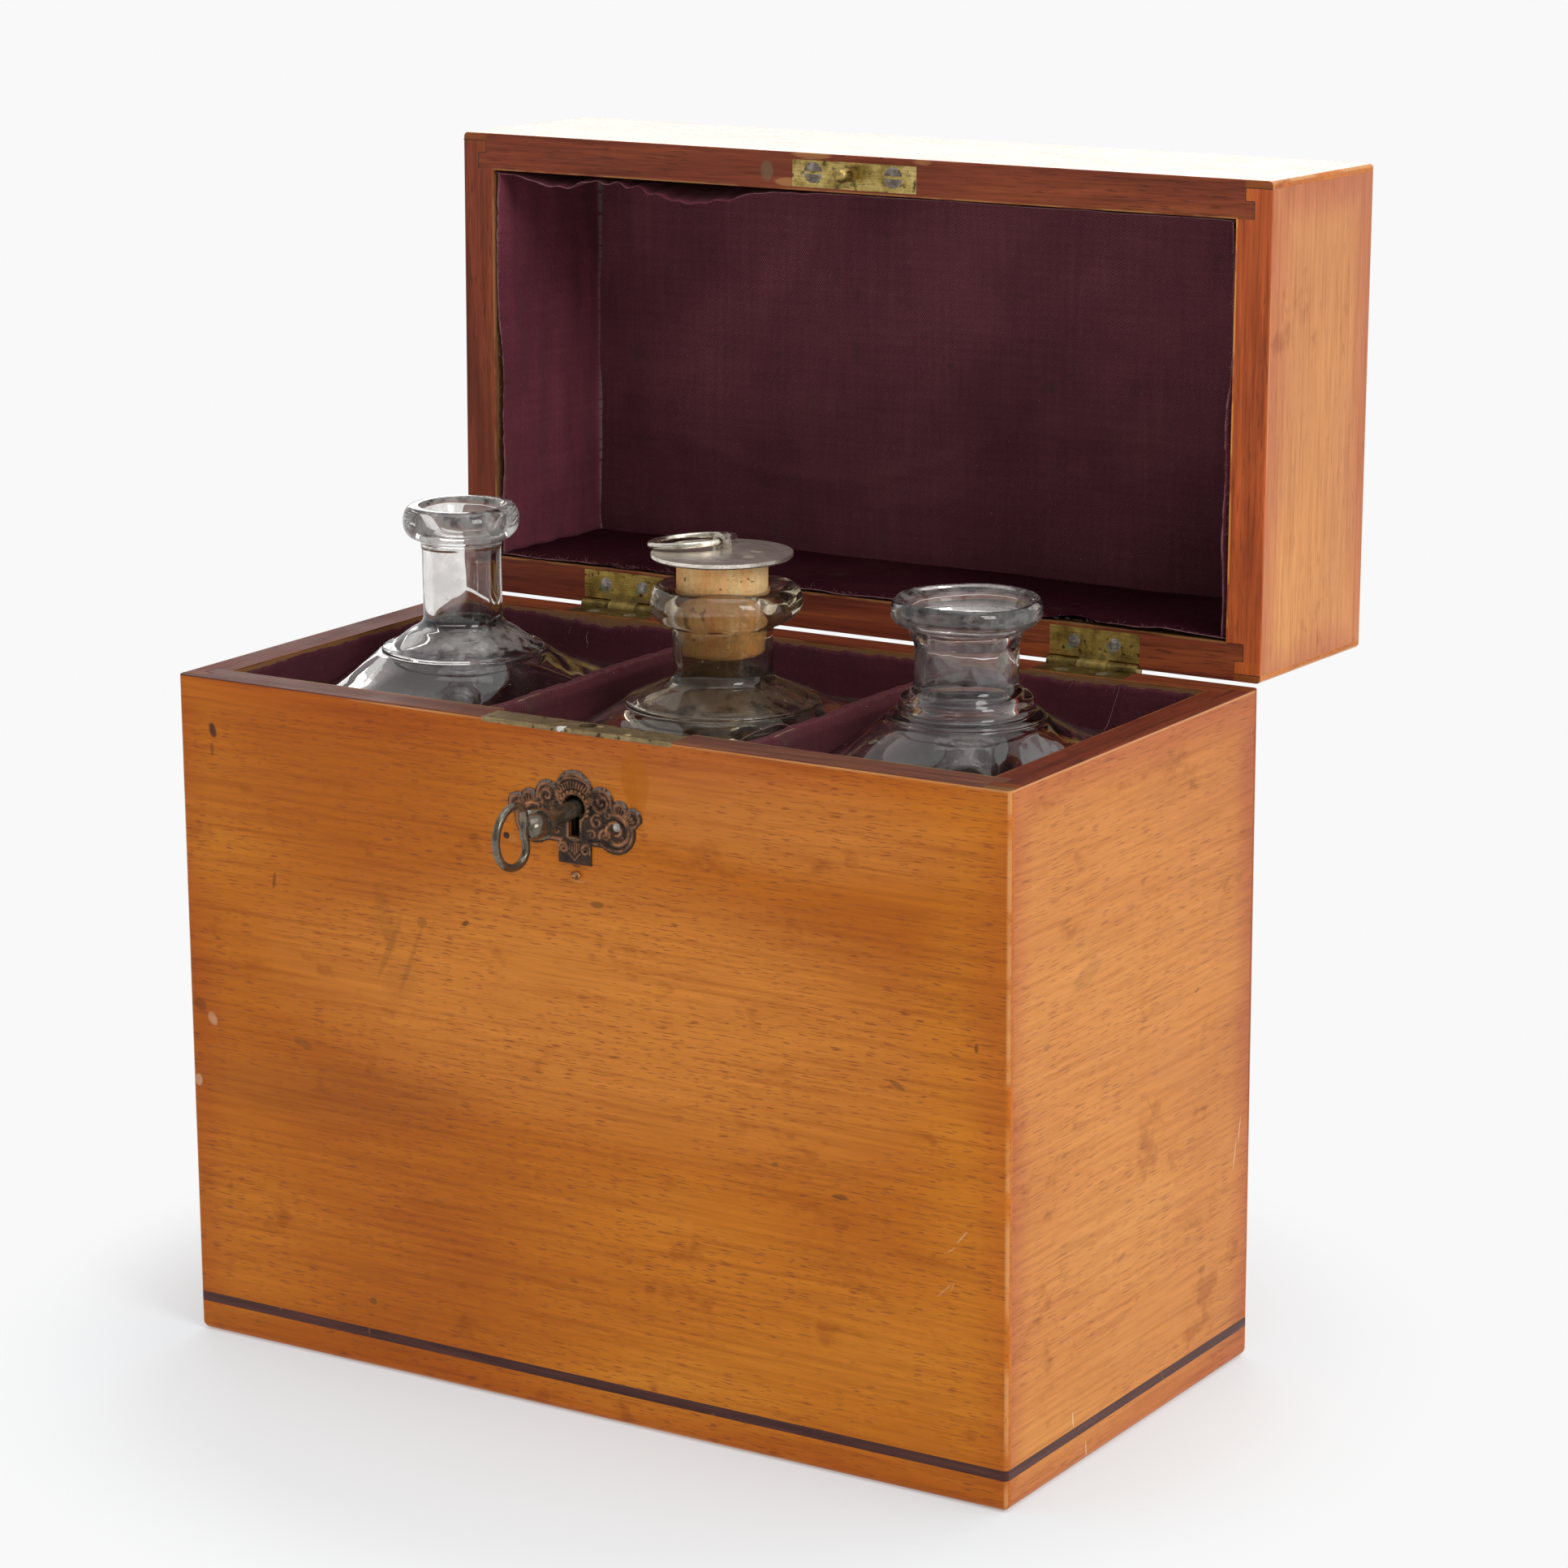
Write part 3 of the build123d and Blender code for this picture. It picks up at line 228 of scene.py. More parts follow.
def wood(name, grain, opened=False, tone=(1, 1, 1), pale=0.0, shift=0.0, marks=(), gloss=0.34,
         rim_tone=(1, 1, 1), pores=0.06, blush=0.85):
    """Waxed wood: long noise along the grain gives figure, fibres and pores, round noise gives clouds and
    stains. The distance to the case's outer edges reddens them and lightens the arrises, partly as wear and
    partly as a painted highlight. Marks are dark or pale spots."""
    finish, net, output = finish_named(name)
    place = add(net, "TexCoord").outputs["Object"]
    if opened:
        place = add(net, "VectorRotate", ("Vector", place), ("Center", (0, PIN_Y, PIN_Z)),
                    ("Axis", (1, 0, 0)), ("Angle", LID_OPEN), rotation_type="AXIS_ANGLE").outputs[0]
    x, y, z = add(net, "SeparateXYZ", ("Vector", place)).outputs
    low, high = (SHUT_Z, CASE_HEIGHT) if opened else (0.0, RIM_Z)
    off_side = sums(net, "SUBTRACT", HALF_W, sums(net, "ABSOLUTE", x))
    off_face = sums(net, "SUBTRACT", HALF_D, sums(net, "ABSOLUTE", y))
    off_end = sums(net, "MINIMUM", sums(net, "SUBTRACT", z, low), sums(net, "SUBTRACT", high, z))
    edge = sums(net, "MINIMUM", sums(net, "MAXIMUM", off_side, off_face),
                sums(net, "MINIMUM", sums(net, "MAXIMUM", off_side, off_end),
                     sums(net, "MAXIMUM", off_face, off_end)))

    def along(amount):
        return tuple(amount if axis == grain else 1 for axis in "xyz")

    cloud = noise(net, place, 11, 2.0, 0.5, along(0.4), shift)
    figure = noise(net, place, 60, 5.0, 0.68, along(0.10), shift, 0.6)
    vein = noise(net, place, 520, 3.0, 0.65, along(0.07), shift + 1.5)
    fibre = noise(net, place, 620, 3.0, 0.65, along(0.03), shift)
    pore = noise(net, place, 2100, 1.0, 0.5, along(pores), shift)
    crowd = noise(net, place, 45, 2.0, 0.5, along(0.3), shift + 3)
    blot = noise(net, place, 70, 3.0, 0.6, along(0.7), shift + 7)

    tint = sums(net, "ADD", sums(net, "MULTIPLY", cloud, 0.82), sums(net, "MULTIPLY", figure, 0.18))
    base = colours(net, tint, (0.36, (0.43, 0.102, 0.004)), (0.47, (0.525, 0.147, 0.0075)),
                   (0.56, (0.60, 0.188, 0.014)), (0.66, (0.67, 0.242, 0.03)))
    base = over(net, base, (*tone,), 1.0, "MULTIPLY")
    base = over(net, base, (0.66, 0.34, 0.16), pale)
    ragged = sums(net, "MULTIPLY", sums(net, "SUBTRACT", blot, 0.5), 2.2)
    drift = sums(net, "MULTIPLY", sums(net, "SUBTRACT", cloud, 0.5), 3.0)

    def paint(base, faces, broad):
        for face, centre, radii, tilt, colour, strength in marks:
            if face in faces and (radii[0] > 20) == broad:
                cover = spot(net, y if face == "side" else x, y if face == "rim" else z, centre, radii,
                             tilt, drift if broad else ragged, (2.2, -0.2) if broad else (1.35, 0.45))
                base = over(net, base, colour, sums(net, "MULTIPLY", cover, strength))
        return base

    base = paint(base, ("front", "side"), True)
    base = over(net, base, colours(net, fibre, (0.3, (0.82, 0.75, 0.68)), (0.5, (1, 1, 1)),
                                   (0.7, (1.10, 1.12, 1.17))), 1.0, "MULTIPLY")
    base = over(net, base, colours(net, vein, (0.32, (0.94, 0.90, 0.87)), (0.5, (1, 1, 1)),
                                   (0.68, (1.03, 1.045, 1.065))), 1.0, "MULTIPLY")
    dash = sums(net, "MULTIPLY", soft_step(net, pore, 0.58, 0.67), soft_step(net, crowd, 0.28, 0.54))
    base = over(net, base, (0.25, 0.062, 0.016), sums(net, "MULTIPLY", dash, 0.72 - pale))
    base = over(net, base, (0.66, 0.56, 0.48), sums(net, "MULTIPLY", soft_step(net, blot, 0.60, 0.74), 0.7),
                "MULTIPLY")

    wander = sums(net, "MULTIPLY", sums(net, "SUBTRACT", cloud, 0.5), 0.03)
    near = sums(net, "ADD", edge, wander)
    base = over(net, base, (0.80, 0.58, 0.72),
                sums(net, "MULTIPLY", soft_step(net, near, 0.017, 0.001), blush), "MULTIPLY")
    # Lighter along the rounded outer edges where noise allows: partly real wear, partly a painted highlight
    # on the arrises.
    worn_edge_highlight = sums(net, "MULTIPLY", soft_step(net, edge, 0.0013, 0.0007), soft_step(net, crowd, 0.40, 0.56))
    base = over(net, base, (0.72, 0.38, 0.15), sums(net, "MULTIPLY", worn_edge_highlight, 0.55))

    base = paint(base, ("front", "side"), False)

    rim_at = SHUT_Z if opened else RIM_Z
    rim = soft_step(net, sums(net, "ABSOLUTE", sums(net, "SUBTRACT", z, rim_at)), 0.0005, 0.0003)
    brown = colours(net, figure, (0.35, (0.14, 0.028, 0.012)), (0.5, (0.20, 0.042, 0.016)),
                    (0.66, (0.27, 0.066, 0.019)))
    brown = over(net, brown, colours(net, fibre, (0.3, (0.62, 0.6, 0.6)), (0.5, (1, 1, 1)),
                                     (0.72, (1.3, 1.25, 1.2))), 1.0, "MULTIPLY")
    brown = over(net, brown, (0.07, 0.018, 0.009), sums(net, "MULTIPLY", dash, 0.6))
    corner = sums(net, "MAXIMUM", sums(net, "SUBTRACT", off_side, 0.0092),
                  sums(net, "SUBTRACT", off_face, 0.0067))
    patch = sums(net, "MULTIPLY", soft_step(net, corner, 0.0004, -0.0006), soft_step(net, crowd, 0.34, 0.6))
    brown = over(net, brown, (0.40, 0.125, 0.017), sums(net, "MULTIPLY", patch, 0.4))
    brown = paint(brown, ("rim",), False)
    inner = sums(net, "MINIMUM", off_side, off_face)
    rubbed = sums(net, "MULTIPLY", soft_step(net, inner, WALL - 0.0008, WALL - 0.0002),
                  soft_step(net, blot, 0.38, 0.55))
    brown = over(net, brown, (0.44, 0.20, 0.055), sums(net, "MULTIPLY", rubbed, 0.55))
    base = over(net, base, over(net, brown, rim_tone, 1.0, "MULTIPLY"), rim)
    bare = sums(net, "MULTIPLY", soft_step(net, inner, WALL - 0.0004, WALL - 0.0001),
                sums(net, "SUBTRACT", 1.0, rim))
    bare = sums(net, "MULTIPLY", bare, soft_step(net, off_end, 0.0002, 0.0006))
    base = over(net, base, (0.24, 0.115, 0.045), bare)
    # Painted shade: the walls of the keyhole cut through the front board are painted nearly black.
    if marks is front_marks:
        inside = sums(net, "MULTIPLY", soft_step(net, y, -HALF_D + 0.00005, -HALF_D + 0.0005),
                      spot(net, x, z, (0.8, 190), (9, 14)))
        base = over(net, base, (0.020, 0.010, 0.006), inside)

    slick = add(net, "MapRange", ("Value", blot), ("From Min", 0.3), ("From Max", 0.7),
                ("To Min", gloss - 0.05), ("To Max", gloss + 0.07)).outputs[0]
    slick = sums(net, "ADD", slick, sums(net, "MULTIPLY", sums(net, "MAXIMUM", rim, bare), 0.3))
    height = sums(net, "SUBTRACT", sums(net, "MULTIPLY", fibre, 0.35), sums(net, "MULTIPLY", dash, 0.5))
    height = sums(net, "ADD", height, sums(net, "MULTIPLY", figure, 0.5))
    bump = add(net, "Bump", ("Strength", 0.22), ("Distance", 0.00025), ("Height", height))
    coat = add(net, "BsdfPrincipled", ("Base Color", base), ("Roughness", slick),
               ("Specular IOR Level", 0.16), ("Normal", bump.outputs[0]))
    net.links.new(coat.outputs[0], output.inputs["Surface"])
    return finish


def dress(finish, *names):
    """Give CAD nodes a finish."""
    for name in names:
        nodes[name].data.materials.clear()
        nodes[name].data.materials.append(finish)


DENT = (0.035, 0.014, 0.008)
SMEAR = (0.24, 0.085, 0.012)
CHIP = (0.75, 0.48, 0.30)
# An orange drip stain that also carries a painted reflection, beside the escutcheon.
DRIP_AND_REFLECTION = (0.47, 0.128, 0.003)
front_marks = (("front", (10, 132), (105, 34), -3, (0.68, 0.235, 0.033), 0.85),
               ("front", (-95, 185), (60, 30), 0, (0.43, 0.100, 0.003), 0.85),
               ("front", (60, 200), (70, 14), -3, (0.62, 0.21, 0.036), 0.7),
               ("front", (156, 112), (30, 80), 0, (0.66, 0.22, 0.012), 0.6),
               ("front", (-150, 100), (26, 90), 0, (0.46, 0.118, 0.003), 0.5),
               ("front", (-136.9, 200.6), (1.5, 2.6), 15, DENT, 0.85),
               ("front", (-137.4, 194.5), (0.7, 2.2), 0, DENT, 0.45),
               ("front", (-114.3, 155), (0.6, 2.6), -8, DENT, 0.5),
               ("front", (-57.1, 149.3), (2.0, 1.8), 0, SMEAR, 0.45),
               ("front", (-71, 148), (3.0, 11), 12, SMEAR, 0.22),
               ("front", (-66, 128), (7.5, 6), 30, SMEAR, 0.16),
               ("front", (-70, 139), (1.2, 12), -25, SMEAR, 0.3),
               ("front", (-62, 136), (1.0, 14), -22, SMEAR, 0.3),
               ("front", (8.1, 164.1), (2.6, 1.1), 0, SMEAR, 0.8),
               ("front", (-40.5, 151.5), (1.4, 0.8), 30, DENT, 0.6),
               ("front", (-141, 105.8), (1.6, 2.4), 30, CHIP, 0.4),
               ("front", (-146, 110), (2.2, 3.0), 60, DENT, 0.4),
               ("front", (-105, 103.3), (4.0, 1.2), -8, SMEAR, 0.6),
               ("front", (93.3, 87.1), (3.2, 0.9), 0, DENT, 0.55),
               ("front", (70.8, 93.3), (1.4, 0.8), 20, SMEAR, 0.8),
               ("front", (112.7, 124.6), (2.8, 0.8), -25, SMEAR, 0.7),
               ("front", (139.2, 139.8), (0.7, 1.6), 0, DENT, 0.6),
               ("front", (-79.9, 22.2), (1.4, 1.2), 0, SMEAR, 0.9),
               # Painted reflection: the vertical orange patch beside the escutcheon, partly a drip stain.
               ("front", (22.6, 204.0), (4.2, 10.5), 3, DRIP_AND_REFLECTION, 0.6),
               ("front", (21.5, 201.0), (1.4, 8), 5, DRIP_AND_REFLECTION, 0.4),
               ("front", (134.6, 82), (0.22, 2.4), -40, CHIP, 0.5),
               ("front", (131.2, 77.6), (0.2, 1.6), -52, CHIP, 0.4),
               ("front", (129, 65), (0.2, 3.4), -45, CHIP, 0.35),
               ("front", (131.6, 66.5), (0.2, 1.8), -20, CHIP, 0.3),
               ("front", (-147.6, 84.5), (1.5, 2.0), 0, CHIP, 0.5),
               ("front", (-100, 88), (46, 9), 4, (0.40, 0.112, 0.010), 0.45),
               ("front", (1.6, 170.6), (2.6, 0.7), 0, (0.74, 0.31, 0.09), 0.35),
               ("front", (-22.6, 180.6), (1.8, 1.1), -10, (0.58, 0.22, 0.06), 0.4),
               ("front", (-24.5, 181.3), (1.0, 0.9), 0, DENT, 0.95),
               ("front", (1.0, 175.2), (1.6, 0.5), 0, DENT, 0.6),)
side_marks = (
    ("side", (-37.4, 15.7), (0.35, 2.6), 8, CHIP, 0.9), ("side", (-29.1, 3.9), (0.3, 2.6), 6, CHIP, 0.8),
    ("side", (66.3, 68.9), (0.3, 5.0), -12, CHIP, 0.8), ("side", (69.4, 77.4), (0.3, 4.0), -12, CHIP, 0.7),
    ("side", (39, 129.9), (1.6, 0.6), 20, SMEAR, 0.7), ("side", (-31, 152), (9, 3), 15, SMEAR, 0.25),
    ("side", (10, 100), (0.25, 6), 35, SMEAR, 0.5), ("side", (-55, 136), (2, 1), 0, SMEAR, 0.5),
    ("side", (-8, 58), (3.0, 1.0), 15, SMEAR, 0.45), ("side", (45, 38), (2.4, 1.5), 0, SMEAR, 0.5),
)
lid_marks = (("rim", (-30, -70.5), (2.2, 3.0), 0, (0.17, 0.11, 0.055), 0.6),
             ("rim", (-22, -67.6), (5, 1.4), 0, (0.42, 0.19, 0.06), 0.7),
             ("rim", (-13, -76.6), (7, 1.4), 0, (0.42, 0.19, 0.06), 0.6),
             ("rim", (28, -76.4), (4, 1.2), 0, (0.42, 0.19, 0.06), 0.5))
dress(wood("honey_wood_front", "x", tone=(0.985, 0.955, 0.66), marks=front_marks,
           rim_tone=(0.71, 1.15, 1.8), pores=0.085, blush=0.6), "body_front_board")
dress(wood("honey_wood_back", "x", shift=2.0, rim_tone=(0.9, 0.9, 0.9)), "body_back_board", "bottom_board")
dress(wood("honey_wood_side", "y", tone=(0.97, 1.02, 1.1), pale=0.17, shift=5.0, marks=side_marks,
           rim_tone=(0.7, 0.6, 0.6)), "body_left_board", "body_right_board")
dress(wood("honey_wood_lid_long", "x", opened=True, shift=8.0, gloss=0.2, rim_tone=(1.14, 1.18, 1.35),
           marks=lid_marks, blush=0.3), "lid_front_board", "lid_back_board", "lid_top_board")
dress(wood("honey_wood_lid_left", "y", opened=True, shift=14.0, rim_tone=(1.14, 1.18, 1.4)),
      "lid_left_board")
dress(wood("honey_wood_lid_right", "y", opened=True, tone=(1, 1.05, 1.1), pale=0.42, shift=11.0,
           rim_tone=(2.7, 2.7, 1.9)), "lid_right_board")


# ---- Foot line: four thin strips of dark stained wood, glued into a shallow rebate round the foot flush
# with the boards and mitred at the corners.
def dark_wood():
    """Nearly black brown with the grain of the strip just showing."""
    finish, net, output = finish_named("foot_line_wood")
    place = add(net, "TexCoord").outputs["Object"]
    streaks = noise(net, place, 500, 3.0, 0.6, (0.06, 0.06, 1))
    base = colours(net, streaks, (0.3, (0.045, 0.014, 0.012)), (0.7, (0.105, 0.036, 0.028)))
    base = over(net, base, (0.22, 0.085, 0.04),
                soft_step(net, noise(net, place, 90, 3.0, 0.6, shift=4.0), 0.64, 0.74))
    coat = add(net, "BsdfPrincipled", ("Base Color", base), ("Roughness", 0.4), ("Specular IOR Level", 0.2))
    net.links.new(coat.outputs[0], output.inputs["Surface"])
    return finish


dress(dark_wood(), "foot_stringing")


# ---- Joint lines: the old glue that shows dark where the boards lock into one another at the corners, a
# hair-thin, uneven line along the steps of each joint on both rims.
def joint_lines(name, z, body, turn):
    """A flat ribbon along each corner's stepped joint, lying a hair above the rim."""
    steps = np.array([(0.0006, 2.4), (9, 2.4), (9, 6.5), (6, 6.5), (6, 11.6)]) / 1000
    chance = np.random.default_rng(31)
    points, faces = [], []
    for side in (-1, 1):
        for end in (-1, 1):
            for first, last in zip(steps[:-1], steps[1:]):
                count = max(3, int(np.linalg.norm(last - first) / 0.0006))
                t = np.linspace(-0.01, 1.01, count)[:, None]
                line = first + (last - first) * t
                out = np.array([last[1] - first[1], first[0] - last[0]])
                out = out / np.linalg.norm(out)
                half = 0.00009 + 0.00007 * chance.random((count, 1))
                flat = np.stack([line - out * half, line + out * half], 1)
                low = np.dstack([side * (HALF_W - flat[..., 0]), end * (HALF_D - flat[..., 1]),
                                 np.full(flat.shape[:2], z)])
                high = low + (0, 0, 0.00003 if z < SHUT_Z else -0.00003)
                loop = np.stack([low[:, 0], low[:, 1], high[:, 1], high[:, 0]], 1)
                start = sum(len(part) for part in points)
                quads = grid_quads(count, 4, closed_v=True) + start
                tips = [[start, start + 1, start + 2, start + 3],
                        [start + 4 * count - 1 - n for n in range(4)]]
                faces += quads.tolist() + tips
                points.append(loop.reshape(-1, 3))
    points = np.vstack(points)
    made = mesh_object(name, turn_open(points) if turn else points, faces)
    made.data.materials.append(glue)
    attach(made, body)


def turn_open(points):
    """Carry points drawn with the lid shut to where the open lid has them."""
    points = np.asarray(points, float)
    y, z = points[..., 1] - PIN_Y, points[..., 2] - PIN_Z
    cos, sin = math.cos(-LID_OPEN), math.sin(-LID_OPEN)
    return np.stack([points[..., 0], PIN_Y + y * cos - z * sin, PIN_Z + y * sin + z * cos], -1)


glue, net, output = finish_named("old_glue")
net.links.new(add(net, "BsdfPrincipled", ("Base Color", (0.05, 0.017, 0.009, 1)),
                  ("Roughness", 0.7)).outputs[0], output.inputs["Surface"])
joint_lines("body_joint_lines", RIM_Z, "case", False)
joint_lines("lid_joint_lines", SHUT_Z, "lid", True)


# ---- Linings: a thin wine-coloured cotton twill glued in panels to the inside of the body and the lid. It
# has faded, puckered and frayed along its cut edges, dropped loose along the lid's front edge and torn away
# at the hinges.
CLOTH = 0.0007
IN_X, IN_Y, FLOOR_Z = HALF_W - WALL, HALF_D - WALL, 0.0097
DEEP_Z = 0.2791


def ripple(a, b, scale, seed, lines=8):
    """Smooth random relief of about -1 to 1, a sum of sine waves of that length in random directions."""
    chance = np.random.default_rng(seed)
    total = np.zeros(np.broadcast(a, b).shape)
    for _ in range(lines):
        turn = chance.uniform(0, 2 * np.pi)
        wave = chance.uniform(0.6, 1.7) / scale
        start = chance.uniform(0, 2 * np.pi)
        total += np.sin(2 * np.pi * wave * (a * np.cos(turn) + b * np.sin(turn)) + start)
    return total / (1.1 * math.sqrt(lines))


def bump_at(value, centre, width):
    """A smooth hump of height 1."""
    return np.exp(-((value - centre) / width) ** 2)


def sheet_mesh(name, middle, spread, thick=CLOTH):
    """A closed cloth: a grid of middle points moved half the thickness both ways along their normals and
    joined round the edges; thick may be one value or a grid of them. spread is each point's place on the
    flat cloth, in metres."""
    normal = np.cross(np.gradient(middle, axis=0), np.gradient(middle, axis=1))
    normal /= np.linalg.norm(normal, axis=-1, keepdims=True)
    rows, columns = middle.shape[:2]
    quads = grid_quads(rows, columns)
    size = rows * columns
    number = np.arange(size).reshape(rows, columns)
    rim = np.concatenate([number[:-1, 0], number[-1, :-1], number[:0:-1, -1], number[0, :0:-1]])
    after = np.roll(rim, -1)
    faces = np.vstack([quads, quads[:, ::-1] + size,
                       np.column_stack([after, rim, rim + size, after + size])])
    points = np.vstack([(middle + normal * thick / 2).reshape(-1, 3),
                        (middle - normal * thick / 2).reshape(-1, 3)])
    return mesh_object(name, points, faces, np.vstack([spread.reshape(-1, 2)] * 2))


def cloth(name, tone=(1, 1, 1), dust=1.0, shift=0.0, sheen=0.10, low=1.0, fold=0.0, edge=1.0):
    """Twill by its flat pattern: slanting ribs, lit and shaded in paint, crossed by threads, soft fading,
    lint and a dry sheen. low is painted shade on its lower part; fold pales its first crease, partly as wear
    and partly as a painted highlight, and edge is the height where it frays."""
    finish, net, output = finish_named(name)
    place = add(net, "UVMap").outputs[0]
    wobble = noise(net, place, 160, 2.0, shift=shift)
    u, v, _ = add(net, "SeparateXYZ", ("Vector", place)).outputs
    sway = sums(net, "MULTIPLY", wobble, 0.0009)
    slant = sums(net, "ADD", sums(net, "ADD", u, sums(net, "MULTIPLY", v, 0.72)), sway)
    rib = sums(net, "SINE", sums(net, "MULTIPLY", slant, 2 * math.pi / 0.00082))
    thread = sums(net, "SINE", sums(net, "MULTIPLY",
                                    sums(net, "SUBTRACT", v, sums(net, "MULTIPLY", u, 0.2)),
                                    2 * math.pi / 0.00055))
    weave = sums(net, "ADD", sums(net, "MULTIPLY", rib, 0.5), sums(net, "MULTIPLY", thread, 0.32))
    painted_rib_light = add(net, "MapRange", ("Value", weave), ("From Min", -0.8), ("From Max", 0.8)).outputs[0]
    fade = noise(net, place, 16, 3.0, 0.55, shift=shift + 2)
    blotch = noise(net, place, 70, 3.0, 0.6, shift=shift + 5)
    base = colours(net, fade, (0.33, (0.034, 0.0078, 0.0122)), (0.5, (0.044, 0.0105, 0.016)),
                   (0.68, (0.055, 0.0145, 0.0205)))
    base = over(net, base, (*tone,), 1.0, "MULTIPLY")
    # Painted shade: low darkens the panel from 3 cm up its height, fully past 12.5 cm.
    base = over(net, base, (low, low * 0.85, low * 0.9), soft_step(net, v, 0.03, 0.125), "MULTIPLY")
    # Painted highlight on the twill's ribs and painted shade between them, over the bump.
    base = over(net, base, colours(net, painted_rib_light, (0.1, (0.50, 0.42, 0.46)), (0.55, (1.0, 1.0, 1.0)),
                                   (0.95, (1.75, 2.0, 1.9))), 1.0, "MULTIPLY")
    weft = noise(net, place, 700, 2.0, 0.6, (0.03, 1, 1), shift)
    warp = noise(net, place, 560, 2.0, 0.6, (1, 0.035, 1), shift)
    for yarn in (weft, warp):
        base = over(net, base, colours(net, yarn, (0.34, (0.94, 0.93, 0.935)), (0.5, (1, 1, 1)),
                                       (0.68, (1.07, 1.09, 1.085))), 1.0, "MULTIPLY")
    # Pale along the panel's first edge, the crease at the deep corner: partly worn threads, partly a painted
    # highlight.
    pale = sums(net, "MULTIPLY", soft_step(net, v, 0.0021, 0.0009), soft_step(net, warp, 0.36, 0.5))
    base = over(net, base, (0.24, 0.165, 0.175), sums(net, "MULTIPLY", pale, fold))
    frayed = soft_step(net, sums(net, "ADD", v,
                                 sums(net, "MULTIPLY", sums(net, "SUBTRACT", warp, 0.5), 0.0016)),
                       edge - 0.0011, edge - 0.0004)
    base = over(net, base, (0.26, 0.13, 0.14), sums(net, "MULTIPLY", frayed, 0.75))
    base = over(net, base, (0.055, 0.033, 0.022),
                sums(net, "MULTIPLY", soft_step(net, blotch, 0.6, 0.75), 0.45))
    lint = noise(net, place, 1100, 1.0, shift=shift + 9)
    base = over(net, base, (0.30, 0.20, 0.19),
                sums(net, "MULTIPLY", soft_step(net, lint, 0.75, 0.80), 0.6 * dust))
    bump = add(net, "Bump", ("Strength", 0.55), ("Distance", 0.00014), ("Height", weave))
    coat = add(net, "BsdfPrincipled", ("Base Color", base), ("Roughness", 0.82),
               ("Specular IOR Level", 2.2 * sheen), ("Sheen Weight", sheen), ("Sheen Roughness", 0.5),
               ("Sheen Tint", (0.85, 0.62, 0.66, 1)), ("Normal", bump.outputs[0]))
    net.links.new(coat.outputs[0], output.inputs["Surface"])
    return finish


def cloth_panel(name, node, start, along, up, inward, finish, lift=None, cut=None, opened=False,
                step=0.0015):
    """A lining panel from one corner, its two edges and the way it faces. lift(u, v) is how far it stands
    off the wood and cut(u) how far its upper edge is cut or frayed away, in metres."""
    start, along, up, inward = (np.array(vector, float) for vector in (start, along, up, inward))
    long, tall = np.linalg.norm(along), np.linalg.norm(up)
    u, v = np.meshgrid(np.linspace(0, long, int(long / step)), np.linspace(0, tall, int(tall / step)),
                       indexing="ij")
    if cut is not None:
        v = v * (1 - cut(u) / tall)
    off = 0.0001 * (1 + ripple(u, v, 0.03, len(name)))
    if lift is not None:
        off = off + np.maximum(lift(u, v), 0)
    sideways = along / long * u[..., None]
    upwards = up / tall * v[..., None]
    middle = start + sideways + upwards + inward * (CLOTH / 2 + off)[..., None]
    if opened:
        middle = turn_open(middle)
    thin = np.full(u.shape[1], CLOTH)
    thin[-3:] = (0.0005, 0.00035, 0.0002)
    made = sheet_mesh(name, middle, np.stack([u, v], -1), thin[None, :, None])
    made.data.materials.append(finish)
    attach(made, "lid" if opened else "case")
    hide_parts(node)
    return made


def ragged(seed, most=0.0006, dips=()):
    """A cut edge that wanders, with deeper torn places given as (centre, half width, depth) in metres."""
    def cut(u):
        line = most * (1 + ripple(u, 0 * u, 0.007, seed)) * 0.5
        line = line + 0.00016 * ripple(u, 0 * u, 0.0016, seed + 1)
        for centre, half, deep in dips:
            line = line + deep * bump_at(u, centre, half) * (1 + 0.28 * ripple(u, 0 * u, 0.006, seed + 2))
        return np.maximum(line, 0)
    return cut


def strands(name, starts, ways, lengths, body, turn=False, seed=5, top=1.0):
    """Frayed threads in one mesh: each leaves its start, bends at random, never above top, and thins."""
    radius = 0.00007
    chance = np.random.default_rng(seed)
    starts, ways = np.asarray(starts, float), np.asarray(ways, float)
    count, rings, sides = len(starts), 7, 4
    t = np.linspace(0, 1, rings)[None, :, None]
    bend = chance.normal(0, 0.55, (count, 1, 3))
    line = starts[:, None] + (ways[:, None] * t + bend * t ** 2 * 0.6) * np.asarray(lengths)[:, None, None]
    line[..., 2] = np.minimum(line[..., 2], top)
    angle = np.linspace(0, 2 * np.pi, sides, endpoint=False)
    first = np.cross(ways, chance.normal(0, 1, (count, 3)))
    first /= np.linalg.norm(first, axis=1, keepdims=True)
    second = np.cross(ways, first)
    second /= np.linalg.norm(second, axis=1, keepdims=True)
    ring = first[:, None] * np.cos(angle)[None, :, None] + second[:, None] * np.sin(angle)[None, :, None]
    points = line[:, :, None] + ring[:, None] * radius * (1.0 - 0.6 * t[..., None])
    if turn:
        points = turn_open(points)
    quads = grid_quads(rings, sides, closed_v=True)
    faces = (quads[None] + (np.arange(count) * rings * sides)[:, None, None]).reshape(-1, 4).tolist()
    for n in range(count):
        base = n * rings * sides
        faces += [[base + 3, base + 2, base + 1, base], [base + (rings - 1) * sides + k for k in range(4)]]
    made = mesh_object(name, points.reshape(-1, 3), faces)
    made.data.materials.append(thread_finish)
    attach(made, body)
    return made


